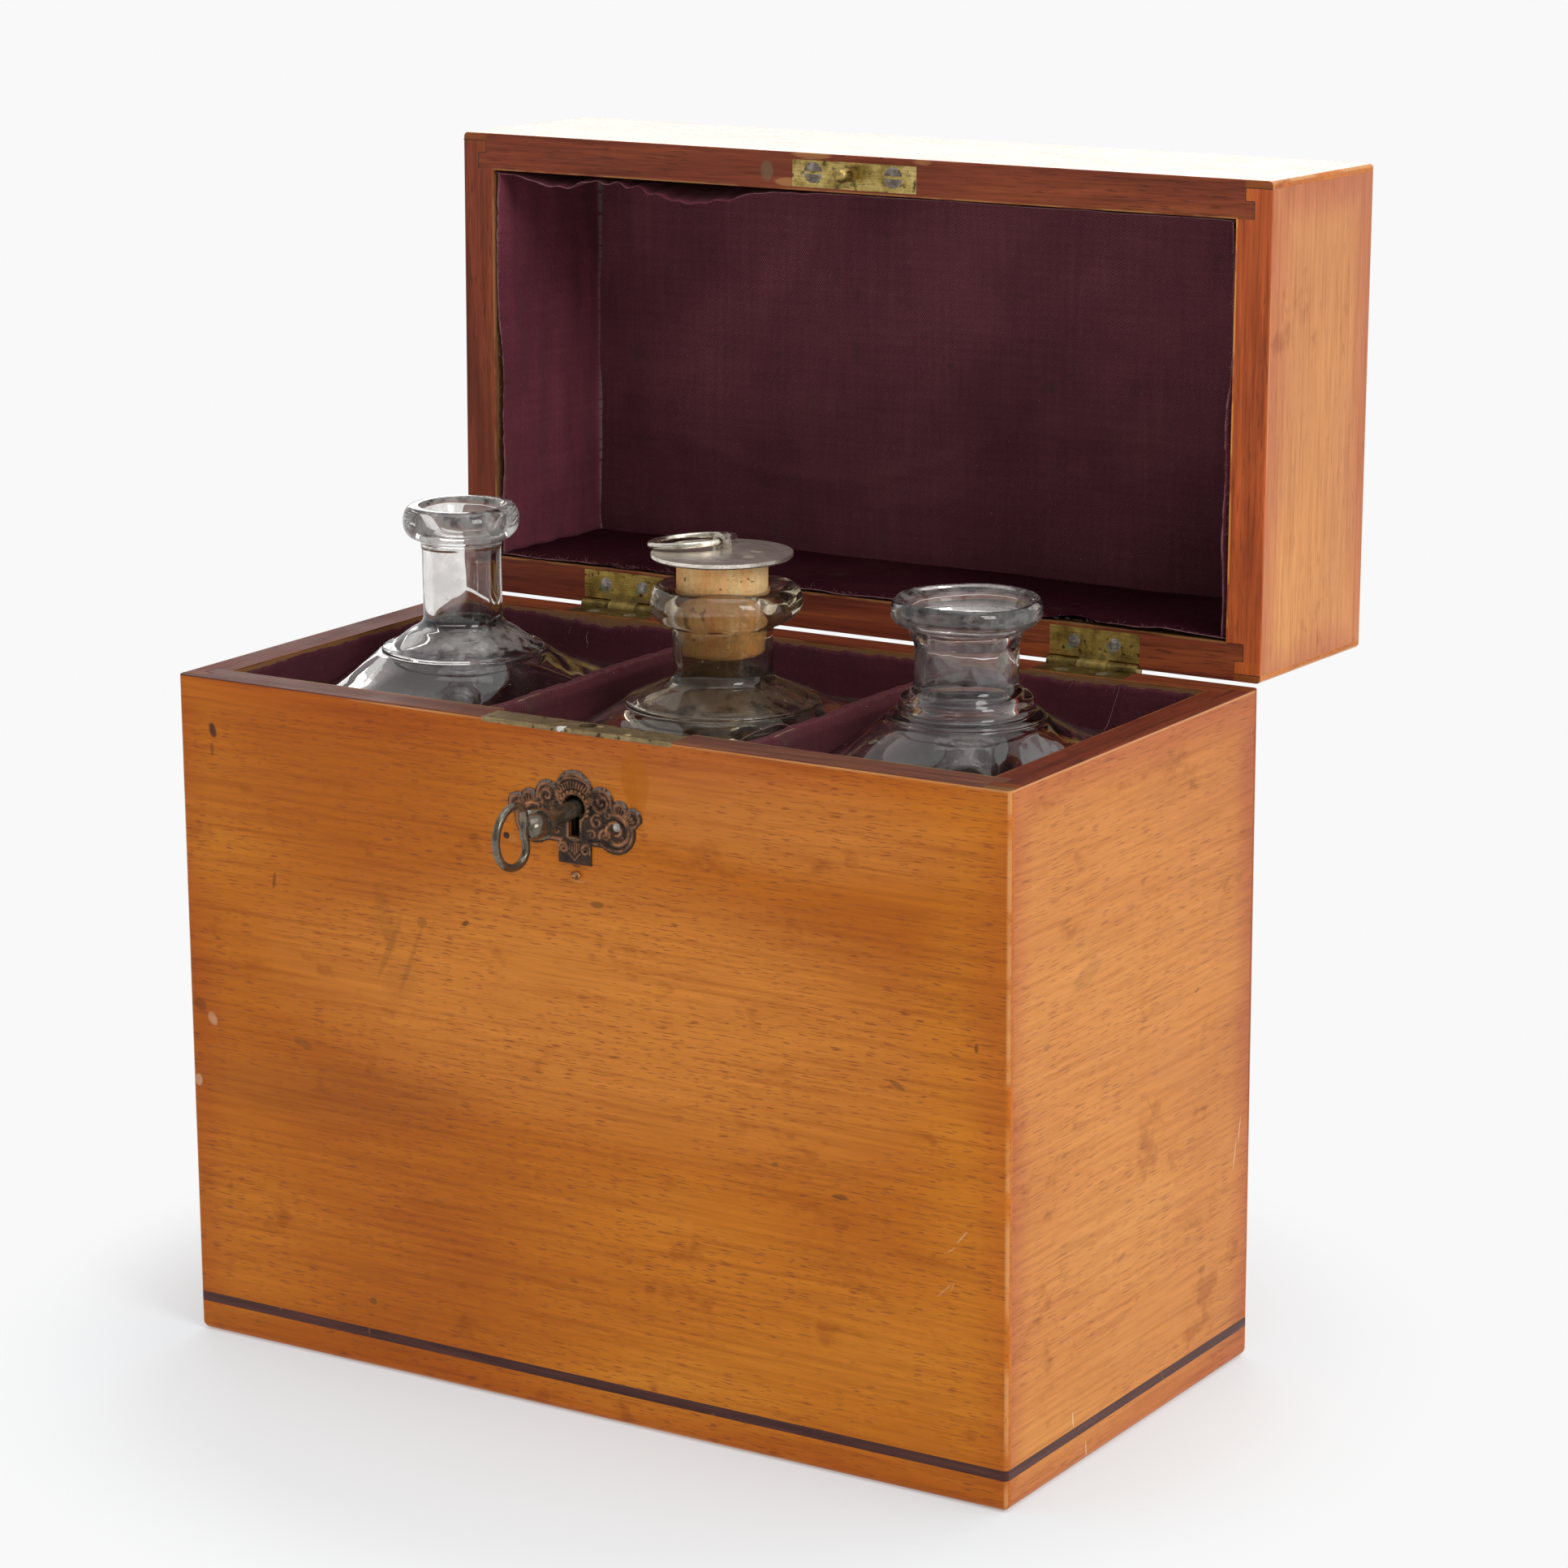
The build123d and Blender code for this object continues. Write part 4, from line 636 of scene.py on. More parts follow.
thread_finish, net, output = finish_named("frayed_thread")
net.links.new(add(net, "BsdfPrincipled", ("Base Color", (0.21, 0.085, 0.095, 1)), ("Roughness", 0.8),
                  ("Sheen Weight", 0.3)).outputs[0], output.inputs["Surface"])

lid_cloth = cloth("faded_twill", (3.9, 3.1, 3.3), fold=0.75, edge=0.0604)
body_cloth = cloth("wine_twill", (1.75, 1.25, 1.35), shift=3.0)
# Painted shade: low darkens the deep panel towards the hinge.
lid_top_cloth = cloth("faded_twill_top", (3.9, 4.1, 3.7), shift=6.0, low=0.52)
# Painted shade: the lid's lower panel, next to the hinge, gets a much darker cloth without sheen.
lid_low_shaded_cloth = cloth("shaded_twill", (0.8, 0.75, 0.75), shift=9.0, sheen=0.0, edge=0.0604)

wall_low, wall_high = FLOOR_Z, RIM_Z - 0.001
WALL_TALL = wall_high - wall_low


def back_lift(u, v):
    """Faint puckers all over and a swell at each hinge, just under the upper edge."""
    swells = bump_at(u, 0.052, 0.02) + 0.5 * bump_at(u, 0.225, 0.02)
    return 0.0003 * (1 + ripple(u, v, 0.05, 3)) + 0.0012 * bump_at(v, WALL_TALL, 0.006) * swells


cloth_panel("lining_back", "body_lining_back", (-IN_X, IN_Y, wall_low), (2 * IN_X, 0, 0),
            (0, 0, WALL_TALL), (0, -1, 0), body_cloth, back_lift,
            ragged(41, 0.0008, ((0.053, 0.010, 0.0021), (0.036, 0.006, 0.0010), (0.23, 0.014, 0.0008),
                                (0.14, 0.03, 0.0004))))
cloth_panel("lining_front", "body_lining_front", (-IN_X, -IN_Y, wall_low), (2 * IN_X, 0, 0),
            (0, 0, WALL_TALL), (0, 1, 0), body_cloth, lambda u, v: 0.0003 * (1 + ripple(u, v, 0.05, 4)),
            ragged(42), step=0.002)
for name, side in (("left", -1), ("right", 1)):
    cloth_panel(f"lining_{name}", f"body_lining_{name}", (side * IN_X, -IN_Y + CLOTH, wall_low),
                (0, 2 * (IN_Y - CLOTH), 0), (0, 0, WALL_TALL), (-side, 0, 0), body_cloth,
                lambda u, v: 0.0003 * (1 + ripple(u, v, 0.04, 6)), ragged(43 + side))
cloth_panel("lining_floor", "body_lining_floor", (-IN_X, -IN_Y, 0.009), (2 * IN_X, 0, 0), (0, 2 * IN_Y, 0),
            (0, 0, 1), body_cloth, step=0.003)

LID_TALL = DEEP_Z - CLOTH - SHUT_Z - 0.0006
lid_low = DEEP_Z - CLOTH


def deep_lift(u, v):
    """Broad and fine puckers, and one crease that wanders along the panel's left half."""
    crease = bump_at(v, 0.104 + 0.02 * ripple(u, 0 * u, 0.2, 13), 0.0035)
    puckers = 0.0007 * (1 + ripple(u, v, 0.075, 11)) + 0.0002 * ripple(u, v, 0.022, 12)
    return puckers + 0.0009 * crease * bump_at(u, 0.10, 0.08)


def upper_lift(u, v):
    """The free edge hangs away from the board in two bellies with small waves between them."""
    bellies = 0.0058 * bump_at(u, 0.078, 0.021) + 0.0034 * bump_at(u, 0.024, 0.012)
    waves = 0.0007 * (1 + ripple(u, 0 * v, 0.012, 15)) * bump_at(u, 0.06, 0.05)
    return 0.0002 + (bellies + waves) * (v / LID_TALL) ** 2.2


def lower_lift(u, v):
    """Low waves towards the hinge side, highest near the right hinge."""
    waves = 0.0009 * (1 + ripple(u, 0 * v, 0.024, 16)) * bump_at(u, 0.235, 0.036)
    return 0.0002 + (waves + 0.00015 * (1 + ripple(u, 0 * v, 0.02, 17))) * (v / LID_TALL) ** 3


def side_lift(u, v):
    """A rounded fold along the deep corner, upright creases beyond it, and a lip near the free edge."""
    fold = 0.0021 * np.clip(1 - v / 0.0035, 0, 1) ** 2
    creases = 0.0007 * (1 + ripple(0.10 * u, v, 0.013, 18)) + 0.0003 * (1 + ripple(u, v, 0.045, 19))
    lip = 0.0010 * bump_at(v, LID_TALL, 0.004) * bump_at(u, 0.075, 0.02)
    return fold + np.clip(v / 0.009, 0, 1) * creases + lip


cloth_panel("lid_lining_deep", "lid_lining_top", (-IN_X, -IN_Y, DEEP_Z), (2 * IN_X, 0, 0), (0, 2 * IN_Y, 0),
            (0, 0, -1), lid_top_cloth, deep_lift, opened=True)
cloth_panel("lid_lining_upper", "lid_lining_front", (-IN_X, -IN_Y, lid_low), (2 * IN_X, 0, 0),
            (0, 0, -LID_TALL), (0, 1, 0), lid_cloth, upper_lift,
            ragged(51, 0.0005, ((0.078, 0.02, 0.0012),)), opened=True)
cloth_panel("lid_lining_lower", "lid_lining_back", (-IN_X, IN_Y, lid_low), (2 * IN_X, 0, 0),
            (0, 0, -LID_TALL), (0, -1, 0), lid_low_shaded_cloth, lower_lift,
            ragged(52, 0.0004, ((0.222, 0.012, 0.0012), (0.055, 0.016, 0.0009))), opened=True)
for name, side in (("left", -1), ("right", 1)):
    cloth_panel(f"lid_lining_{name}_side", f"lid_lining_{name}", (side * IN_X, -IN_Y + CLOTH, lid_low),
                (0, 2 * (IN_Y - CLOTH), 0), (0, 0, -LID_TALL), (-side, 0, 0), lid_cloth, side_lift,
                ragged(53 + side, 0.0004, ((0.075, 0.014, 0.0005),)), opened=True)

chance = np.random.default_rng(77)
x = np.concatenate([chance.uniform(-IN_X, IN_X, 150), chance.normal(-0.088, 0.012, 130),
                    chance.normal(0.09, 0.012, 50)])
x = np.clip(x, -IN_X, IN_X)
dip = 0.0022 * np.exp(-((x + 0.085) / 0.010) ** 2)
strands("back_fringe", np.column_stack([x, np.full(len(x), IN_Y - 0.0006), wall_high - dip - 0.0006]),
        np.column_stack([chance.normal(0, 0.5, len(x)), -0.3 - 0.4 * chance.random(len(x)),
                         chance.normal(0.35, 0.6, len(x))]), chance.uniform(0.0006, 0.0028, len(x)), "case",
        top=RIM_Z)
FRAYS = 260
y = chance.uniform(-IN_Y, IN_Y, FRAYS)
side = np.repeat([-1, 1], FRAYS // 2)
strands("lid_side_fringe", np.column_stack([side * (IN_X - 0.0005), y, np.full(FRAYS, SHUT_Z + 0.0016)]),
        np.column_stack([-side * chance.uniform(0.1, 0.8, FRAYS), chance.normal(0, 0.6, FRAYS),
                         chance.normal(-0.5, 0.4, FRAYS)]), chance.uniform(0.0005, 0.0022, FRAYS), "lid",
        turn=True, seed=6)
x = chance.uniform(-IN_X, IN_X, FRAYS)
strands("lid_lower_fringe", np.column_stack([x, np.full(FRAYS, IN_Y - 0.0009),
                                             np.full(FRAYS, SHUT_Z + 0.0022)]),
        np.column_stack([chance.normal(0, 0.5, FRAYS), chance.uniform(-0.8, -0.1, FRAYS),
                         chance.normal(-0.3, 0.4, FRAYS)]), chance.uniform(0.0005, 0.0020, FRAYS), "lid",
        turn=True, seed=7)


# ---- Dividers: two thin upright boards with the same cloth, padded, stretched over them; its two edges
# make ridges along the top, rubbed pale.
def divider_cover(name, x):
    """The cloth's middle line goes up one side, over a rounded top with two ridges, and down the other."""
    half, shoulder, rows = 0.0031, 0.2103, 60
    y = np.linspace(-IN_Y + CLOTH, IN_Y - CLOTH, 110)
    side_z = np.linspace(FLOOR_Z + 0.0006, shoulder, rows)
    turn = np.linspace(math.pi, 0, 41)
    over_x, over_z = half * np.cos(turn), shoulder + 0.0029 * np.sin(turn)
    over_z = over_z + 0.0007 * bump_at(over_x, -0.0019, 0.0006) + 0.0006 * bump_at(over_x, 0.0016, 0.0007)
    over_z = over_z - 0.0003 * bump_at(over_x, 0, 0.0008)
    line_x = np.concatenate([np.full(rows, -half), over_x[1:-1], np.full(rows, half)])
    line_z = np.concatenate([side_z, over_z[1:-1], side_z[::-1]])
    along = np.concatenate([[0], np.cumsum(np.hypot(np.diff(line_x), np.diff(line_z)))])
    yy, ss = np.meshgrid(y, along, indexing="ij")
    xx, zz = np.broadcast_to(line_x, yy.shape), np.broadcast_to(line_z, yy.shape)
    top = np.clip((zz - 0.200) / 0.012, 0, 1)
    xx = xx + (0.0004 * ripple(yy, ss, 0.03, 21) + 0.0005 * ripple(yy, 0 * ss, 0.05, 22)) * top
    zz = zz - 0.00035 * (1 + ripple(yy, 0 * ss, 0.045, 23)) * top
    zz = zz - 0.00015 * (1 + ripple(yy, ss, 0.006, 24)) * top
    made = sheet_mesh(name, np.stack([x + xx, yy, zz], -1), np.stack([yy, ss], -1), 0.0010)
    made.data.materials.append(divider_cloth)
    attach(made, "case")
    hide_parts(name.replace("_cover", "_cloth"))


divider_cloth = cloth("divider_twill", (2.1, 1.75, 1.55), dust=1.6, shift=12.0)
divider_cover("divider_left_cover", -0.047)
divider_cover("divider_right_cover", 0.047)
raw, net, output = finish_named("sawn_board")
grain = noise(net, add(net, "TexCoord").outputs["Object"], 400, 3.0, 0.6, (1, 0.05, 1))
net.links.new(add(net, "BsdfPrincipled",
                  ("Base Color", colours(net, grain, (0.3, (0.30, 0.18, 0.09)), (0.7, (0.45, 0.30, 0.17)))),
                  ("Roughness", 0.8)).outputs[0], output.inputs["Surface"])
dress(raw, "divider_left", "divider_right")


# ---- Brass fittings: two sheet-brass butt hinges, the lock's rim plate and works, and the striker plate
# with its hollow peg, gone a dull olive. Grey iron nails and screws hold them, with rust and verdigris
# round the heads.
def metal(name, *stops, along="x", stain=(0.035, 0.024, 0.010), stained=0.62, rough=0.42, metallic=0.88,
          scale=1.0, marks=(), patchy=0.26, pitted=0.3):
    """Old metal: clouds of tarnish, fine rub marks along one axis, blots, pits, and marks given as a centre
    in millimetres, a radius, a colour and a strength. patchy is how unevenly it shines, pitted how rough
    its face is."""
    finish, net, output = finish_named(name)
    place = add(net, "TexCoord").outputs["Object"]
    squeeze = tuple(0.07 if axis == along else 1 for axis in "xyz")
    cloud = noise(net, place, 170 * scale, 4.0, 0.62, shift=len(name))
    rub = noise(net, place, 2100, 2.0, 0.6, squeeze, shift=3.0)
    blot = noise(net, place, 420 * scale, 3.0, 0.6, shift=9.0)
    base = colours(net, cloud, *stops)
    base = over(net, base, colours(net, rub, (0.3, (0.72, 0.7, 0.66)), (0.5, (1, 1, 1)),
                                   (0.7, (1.25, 1.25, 1.22))), 1.0, "MULTIPLY")
    base = over(net, base, stain,
                sums(net, "MULTIPLY", soft_step(net, blot, stained - 0.05, stained + 0.07), 0.85))
    dull = sums(net, "ADD", sums(net, "MULTIPLY", soft_step(net, blot, 0.4, 0.7), patchy),
                rough - patchy * 0.3)
    shiny = metallic
    for centre, radius, colour, strength in marks:
        far = add(net, "VectorMath", (0, place), (1, [value / 1000 for value in centre]),
                  operation="DISTANCE").outputs["Value"]
        near = sums(net, "ADD", sums(net, "MULTIPLY", far, 1000 / radius),
                    sums(net, "MULTIPLY", sums(net, "SUBTRACT", blot, 0.5), 2.4))
        cover = sums(net, "MULTIPLY", soft_step(net, near, 1.15, 0.8), strength)
        base = over(net, base, colour, cover)
        dull = sums(net, "MAXIMUM", dull, sums(net, "MULTIPLY", cover, 0.8))
        shiny = sums(net, "MINIMUM", shiny, sums(net, "SUBTRACT", 1.0, cover))
    height = sums(net, "ADD", sums(net, "MULTIPLY", rub, 0.6), sums(net, "MULTIPLY", blot, 0.8))
    bump = add(net, "Bump", ("Strength", pitted), ("Distance", 0.0002), ("Height", height))
    coat = add(net, "BsdfPrincipled", ("Base Color", base), ("Metallic", shiny), ("Roughness", dull),
               ("Normal", bump.outputs[0]))
    net.links.new(coat.outputs[0], output.inputs["Surface"])
    return finish


GREEN, RUST, PAINT = (0.085, 0.16, 0.10), (0.16, 0.06, 0.02), (0.72, 0.70, 0.66)
LEAF_FACE = PIN_Y * 1000 - 0.2
HINGE_X = (-86, 92)
NAIL_OUT = 7.25
nail_green = [((x + side * NAIL_OUT - 1.5, LEAF_FACE, 223.5), 1.7, GREEN, 0.75)
              for x in HINGE_X for side in (-1, 1)]
knuckle = [((x + out, PIN_Y * 1000, PIN_Z * 1000), 4.4, (0.13, 0.09, 0.026), 0.55)
           for x in HINGE_X for out in (-6, 0, 6)]
nail_dark = [((x + side * NAIL_OUT, 70.2, 217.2), 3.2, (0.03, 0.035, 0.02), 0.6)
             for x in HINGE_X for side in (-1, 1)]
dress(metal("olive_brass", (0.34, (0.26, 0.17, 0.040)), (0.5, (0.54, 0.37, 0.088)),
            (0.68, (0.74, 0.54, 0.15)), marks=nail_green + knuckle), "hinge_left_lid_leaf",
      "hinge_right_lid_leaf")
dress(metal("dark_brass", (0.34, (0.085, 0.058, 0.016)), (0.5, (0.18, 0.125, 0.034)),
            (0.7, (0.30, 0.215, 0.065)), marks=nail_dark), "hinge_left_body_leaf", "hinge_right_body_leaf",
      "hinge_left_pin", "hinge_right_pin", "lock_cap", "lock_bolt", "bolt_spring")
dress(metal("striker_brass", (0.34, (0.24, 0.165, 0.045)), (0.5, (0.46, 0.33, 0.10)),
            (0.66, (0.66, 0.50, 0.20)), stain=(0.07, 0.06, 0.035), stained=0.60, rough=0.38),
      "striker_plate", "striker_peg")
dress(metal("lock_rim_brass", (0.36, (0.23, 0.165, 0.080)), (0.52, (0.29, 0.21, 0.105)),
            (0.68, (0.38, 0.28, 0.145)), rough=0.44, patchy=0.12, pitted=0.12,
            marks=(((-3.8, -76.7, 217.2), 1.4, PAINT, 0.95),
                   ((19.0, -75.5, 217.2), 1.2, (0.45, 0.32, 0.12), 0.8),
                   ((6.0, -70.5, 217.2), 1.0, (0.40, 0.28, 0.10), 0.7))), "lock_plate")
iron = metal("grey_iron", (0.34, (0.22, 0.20, 0.175)), (0.5, (0.42, 0.39, 0.35)),
             (0.66, (0.66, 0.63, 0.58)), stain=RUST, stained=0.62, rough=0.34, scale=1.6, pitted=0.3)
dress(metal("screw_iron", (0.34, (0.10, 0.082, 0.065)), (0.5, (0.20, 0.17, 0.14)),
            (0.66, (0.36, 0.32, 0.28)), stain=RUST, stained=0.6, scale=1.6, rough=0.38), "striker_screws")
dress(iron, "hinge_nails_lid", "hinge_nails_body", "escutcheon_pins", "lock_pins", "drill_pin", "bolt_stud")


# ---- Escutcheon: a keyhole plate stamped from thin brass in a rococo pattern, shells and volutes round the
# keyhole inside a raised lobed border, bronzed nearly black and rubbed to copper on the high points. Two
# small pins hold it; a third has lost its head below the plate.
KEY_X, KEY_Z = 0.8, 193.2
LOBES = ((0, 4.5, 6.95), (9.7, 3.0, 4.5), (16.4, 1.0, 3.1), (20.9, -1.0, 3.4), (14.5, -5.3, 7.4))


def box_gap(x, z, half, low, high):
    """Signed distance to a rectangle about the middle line, negative inside."""
    a, b = np.abs(x) - half, np.abs(z - (low + high) / 2) - (high - low) / 2
    return np.hypot(np.maximum(a, 0), np.maximum(b, 0)) + np.minimum(np.maximum(a, b), 0)


def plate_gap(x, z):
    """Signed distance to the plate's outline, without its keyhole."""
    gap = np.minimum(box_gap(x, z, 6.0, -17.4, 4.5), box_gap(x, z, 14.5, -11.2, 3.0))
    for out, up, r in LOBES:
        gap = np.minimum(gap, np.hypot(np.abs(x) - out, z - up) - r)
    return gap


def hole_gap(x, z):
    """Signed distance to the keyhole."""
    return np.minimum(np.hypot(x, z) - 3.8, box_gap(x, z, 1.8, -8.8, 0))


def scroll(x, z, centre, radii, start, turns, width):
    """A ridge along a spiral between two radii; x is already mirrored so the pattern is symmetrical."""
    r = np.hypot(x - centre[0], z - centre[1])
    angle = (np.arctan2(z - centre[1], x - centre[0]) - start) * np.sign(turns)
    total, ridge = 2 * np.pi * abs(turns), np.zeros_like(x)
    for lap in range(-1, 4):
        way = angle + 2 * np.pi * lap
        share = np.clip(way / total, 0, 1)
        within = np.clip(np.minimum(way + 0.3, total + 0.3 - way) / 0.3, 0, 1)
        across = (r - (radii[0] + (radii[1] - radii[0]) * share)) / (width * (1.6 - 0.6 * share))
        ridge = np.maximum(ridge, np.exp(-across ** 2) * within)
    return ridge


def fan(x, z, centre, near, far, first, last, count):
    """Fine ribs that spread like a shell between two radii and two angles in degrees."""
    r = np.hypot(x - centre[0], z - centre[1])
    angle = np.degrees(np.arctan2(z - centre[1], x - centre[0]))
    place = (angle - first) / (last - first)
    inside = np.clip(np.minimum(r - near, far - r) / 0.35, 0, 1)
    inside = inside * np.clip(np.minimum(place, 1 - place) * 12, 0, 1)
    return inside * (0.5 - 0.5 * np.cos(2 * np.pi * count * place))


def relief(x, z):
    """Height in millimetres of the stamped face above the wood."""
    side = np.abs(x)
    edge, hole = -plate_gap(x, z), hole_gap(x, z)
    r = np.hypot(x, z)
    rimmed = np.clip((z + 12.2) / 1.2, 0, 1)
    face = 0.50 - 0.25 * np.exp(-(edge / 0.5) ** 2) + 0.44 * rimmed * np.exp(-((edge - 1.05) / 0.68) ** 2)
    face = face - 0.10 * rimmed * np.exp(-((edge - 2.2) / 0.45) ** 2)
    face = np.maximum(face, 0.55 + 0.38 * np.exp(-((hole - 0.55) / 0.38) ** 2) - 0.2 * (hole > 1.2))
    parts = [0.52 * fan(x, z, (0, 0), 5.7, 8.3, 12, 168, 19),
             0.50 * np.exp(-((r - 9.2) / 0.42) ** 2) * (z > 4.2) * (side < 6.4),
             0.42 * scroll(side, z, (5.2, 3.2), (1.5, 0.4), 2.2, -1.0, 0.4),
             0.60 * scroll(side, z, (9.8, 2.7), (3.0, 0.5), -2.6, 1.35, 0.46),
             0.35 * scroll(side, z, (9.0, 3.6), (1.9, 0.7), 0.5, 0.7, 0.32),
             0.48 * fan(side, z, (15.5, -5.2), 5.0, 7.6, 28, 96, 8),
             0.42 * fan(side, z, (17.0, -5.0), 4.6, 6.2, 20, 60, 4),
             0.62 * scroll(side, z, (14.9, -5.4), (5.5, 1.2), 1.9, -1.55, 0.50),
             0.45 * scroll(side, z, (15.0, -5.6), (4.5, 3.6), 1.3, -0.6, 0.30),
             0.50 * scroll(side, z, (11.3, -7.2), (2.2, 0.5), 3.6, -1.2, 0.42),
             0.45 * scroll(side, z, (8.2, -3.2), (2.3, 0.5), 1.2, 1.2, 0.42),
             0.40 * scroll(side, z, (6.3, -7.5), (1.6, 0.4), 2.6, -1.1, 0.34),
             0.38 * scroll(side, z, (12.3, -0.9), (1.5, 0.4), 0.2, 1.1, 0.32),
             0.50 * scroll(side, z, (4.0, -12.7), (1.9, 0.3), -0.5, 1.5, 0.40),
             0.46 * np.exp(-((side - 0.9 * (z + 16.2)) / 0.36) ** 2) * (z < -13.9),
             0.40 * (side < 1.9) * (z < -10.6) * (z > -14.6 + side * 0.9)
             * (0.5 + 0.5 * np.cos(2 * np.pi * x / 0.85)),
             0.34 * np.exp(-((z + 10.1 - 0.12 * side ** 2) / 0.35) ** 2) * (side < 3.4)]
    for part in parts:
        face = np.maximum(face, 0.46 + part)
    for lean in np.arange(-22, 203, 17.3):
        away = np.hypot(x - 5.0 * np.cos(np.radians(lean)), z - 5.0 * np.sin(np.radians(lean)))
        face = np.maximum(face, 0.52 + 0.55 * np.sqrt(np.clip(1 - (away / 0.62) ** 2, 0, 1)))
    for out, up in ((13.2, -9.6), (14.8, -9.2), (16.2, -8.4), (9.4, -9.6), (17.4, -7.0), (7.0, -1.0)):
        away = np.hypot(side - out, z - up)
        face = np.maximum(face, 0.50 + 0.36 * np.sqrt(np.clip(1 - (away / 0.42) ** 2, 0, 1)))
    rough = 0.030 * ripple(x, z, 0.9, 61, 14) + 0.022 * ripple(x, z, 0.4, 62, 14)
    face = face + rough - 0.05 * (1 + ripple(x, z, 5, 63)) * 0.5
    return np.clip(np.where(edge < 0.12, np.minimum(face, 0.30), face), 0.18, 1.18)


def stamped_plate():
    """Square cells inside the outline, their border points moved onto it, closed by sides and a back."""
    step = 0.16
    x, z = np.meshgrid(np.arange(-25.6, 25.6, step), np.arange(-18.4, 12.4, step), indexing="ij")

    def gap(a, b):
        chewed = 0.16 * ripple(a, b, 1.6, 64) + 0.7 * bump_at(np.hypot(a - 23.0, b + 2.9), 0, 1.1)
        return np.maximum(plate_gap(a, b) + np.maximum(chewed, 0) * (b > -17), -hole_gap(a, b))

    value = gap(x, z)
    middle = (value[:-1, :-1] + value[1:, :-1] + value[1:, 1:] + value[:-1, 1:]) / 4
    keep = middle < -0.02
    for _ in range(2):
        grown = np.pad(keep, 1).astype(int)
        around = grown[:-2, 1:-1] + grown[2:, 1:-1] + grown[1:-1, :-2] + grown[1:-1, 2:]
        keep = keep & (around >= 2)
    number = np.arange(x.size).reshape(x.shape)
    cells = np.stack([number[:-1, :-1], number[1:, :-1], number[1:, 1:], number[:-1, 1:]], -1)[keep]
    touched = np.bincount(cells.ravel(), minlength=x.size)
    used = np.flatnonzero(touched)
    border = np.zeros(x.size, bool)
    pairs = np.stack([cells, np.roll(cells, -1, 1)], -1).reshape(-1, 2)
    key = pairs[:, 0] * x.size + pairs[:, 1]
    single = ~np.isin(pairs[:, 1] * x.size + pairs[:, 0], key)
    open_pairs = pairs[single]
    border[open_pairs.ravel()] = True
    px, pz = x.ravel().copy(), z.ravel().copy()
    at = np.flatnonzero(border)
    for _ in range(3):
        here = gap(px[at], pz[at])
        slope_x = (gap(px[at] + 0.02, pz[at]) - gap(px[at] - 0.02, pz[at])) / 0.04
        slope_z = (gap(px[at], pz[at] + 0.02) - gap(px[at], pz[at] - 0.02)) / 0.04
        scale = np.maximum(slope_x ** 2 + slope_z ** 2, 0.3)
        px[at] -= np.clip(here * slope_x / scale, -0.12, 0.12)
        pz[at] -= np.clip(here * slope_z / scale, -0.12, 0.12)
    px, pz = px[used], pz[used]
    renumber = np.full(x.size, -1)
    renumber[used] = np.arange(len(used))
    cells, open_pairs = renumber[cells], renumber[open_pairs]
    height = relief(px, pz)
    edge = -plate_gap(px, pz)
    upward = (plate_gap(px, pz + 0.1) - plate_gap(px, pz - 0.1)) / 0.2
    front = np.column_stack([px + KEY_X, -HALF_D * 1000 - height, pz + KEY_Z]) / 1000
    back = np.column_stack([px + KEY_X, np.full(len(px), -HALF_D * 1000 - 0.01), pz + KEY_Z]) / 1000
    size = len(front)
    sides = np.column_stack([open_pairs[:, 1], open_pairs[:, 0], open_pairs[:, 0] + size,
                             open_pairs[:, 1] + size])
    spread = np.vstack([np.column_stack([edge, upward])] * 2)
    made = mesh_object("escutcheon_relief", np.vstack([front, back]),
                       np.vstack([cells, cells[:, ::-1] + size, sides]), spread)
    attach(made, "case")
    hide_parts("escutcheon")
    return made


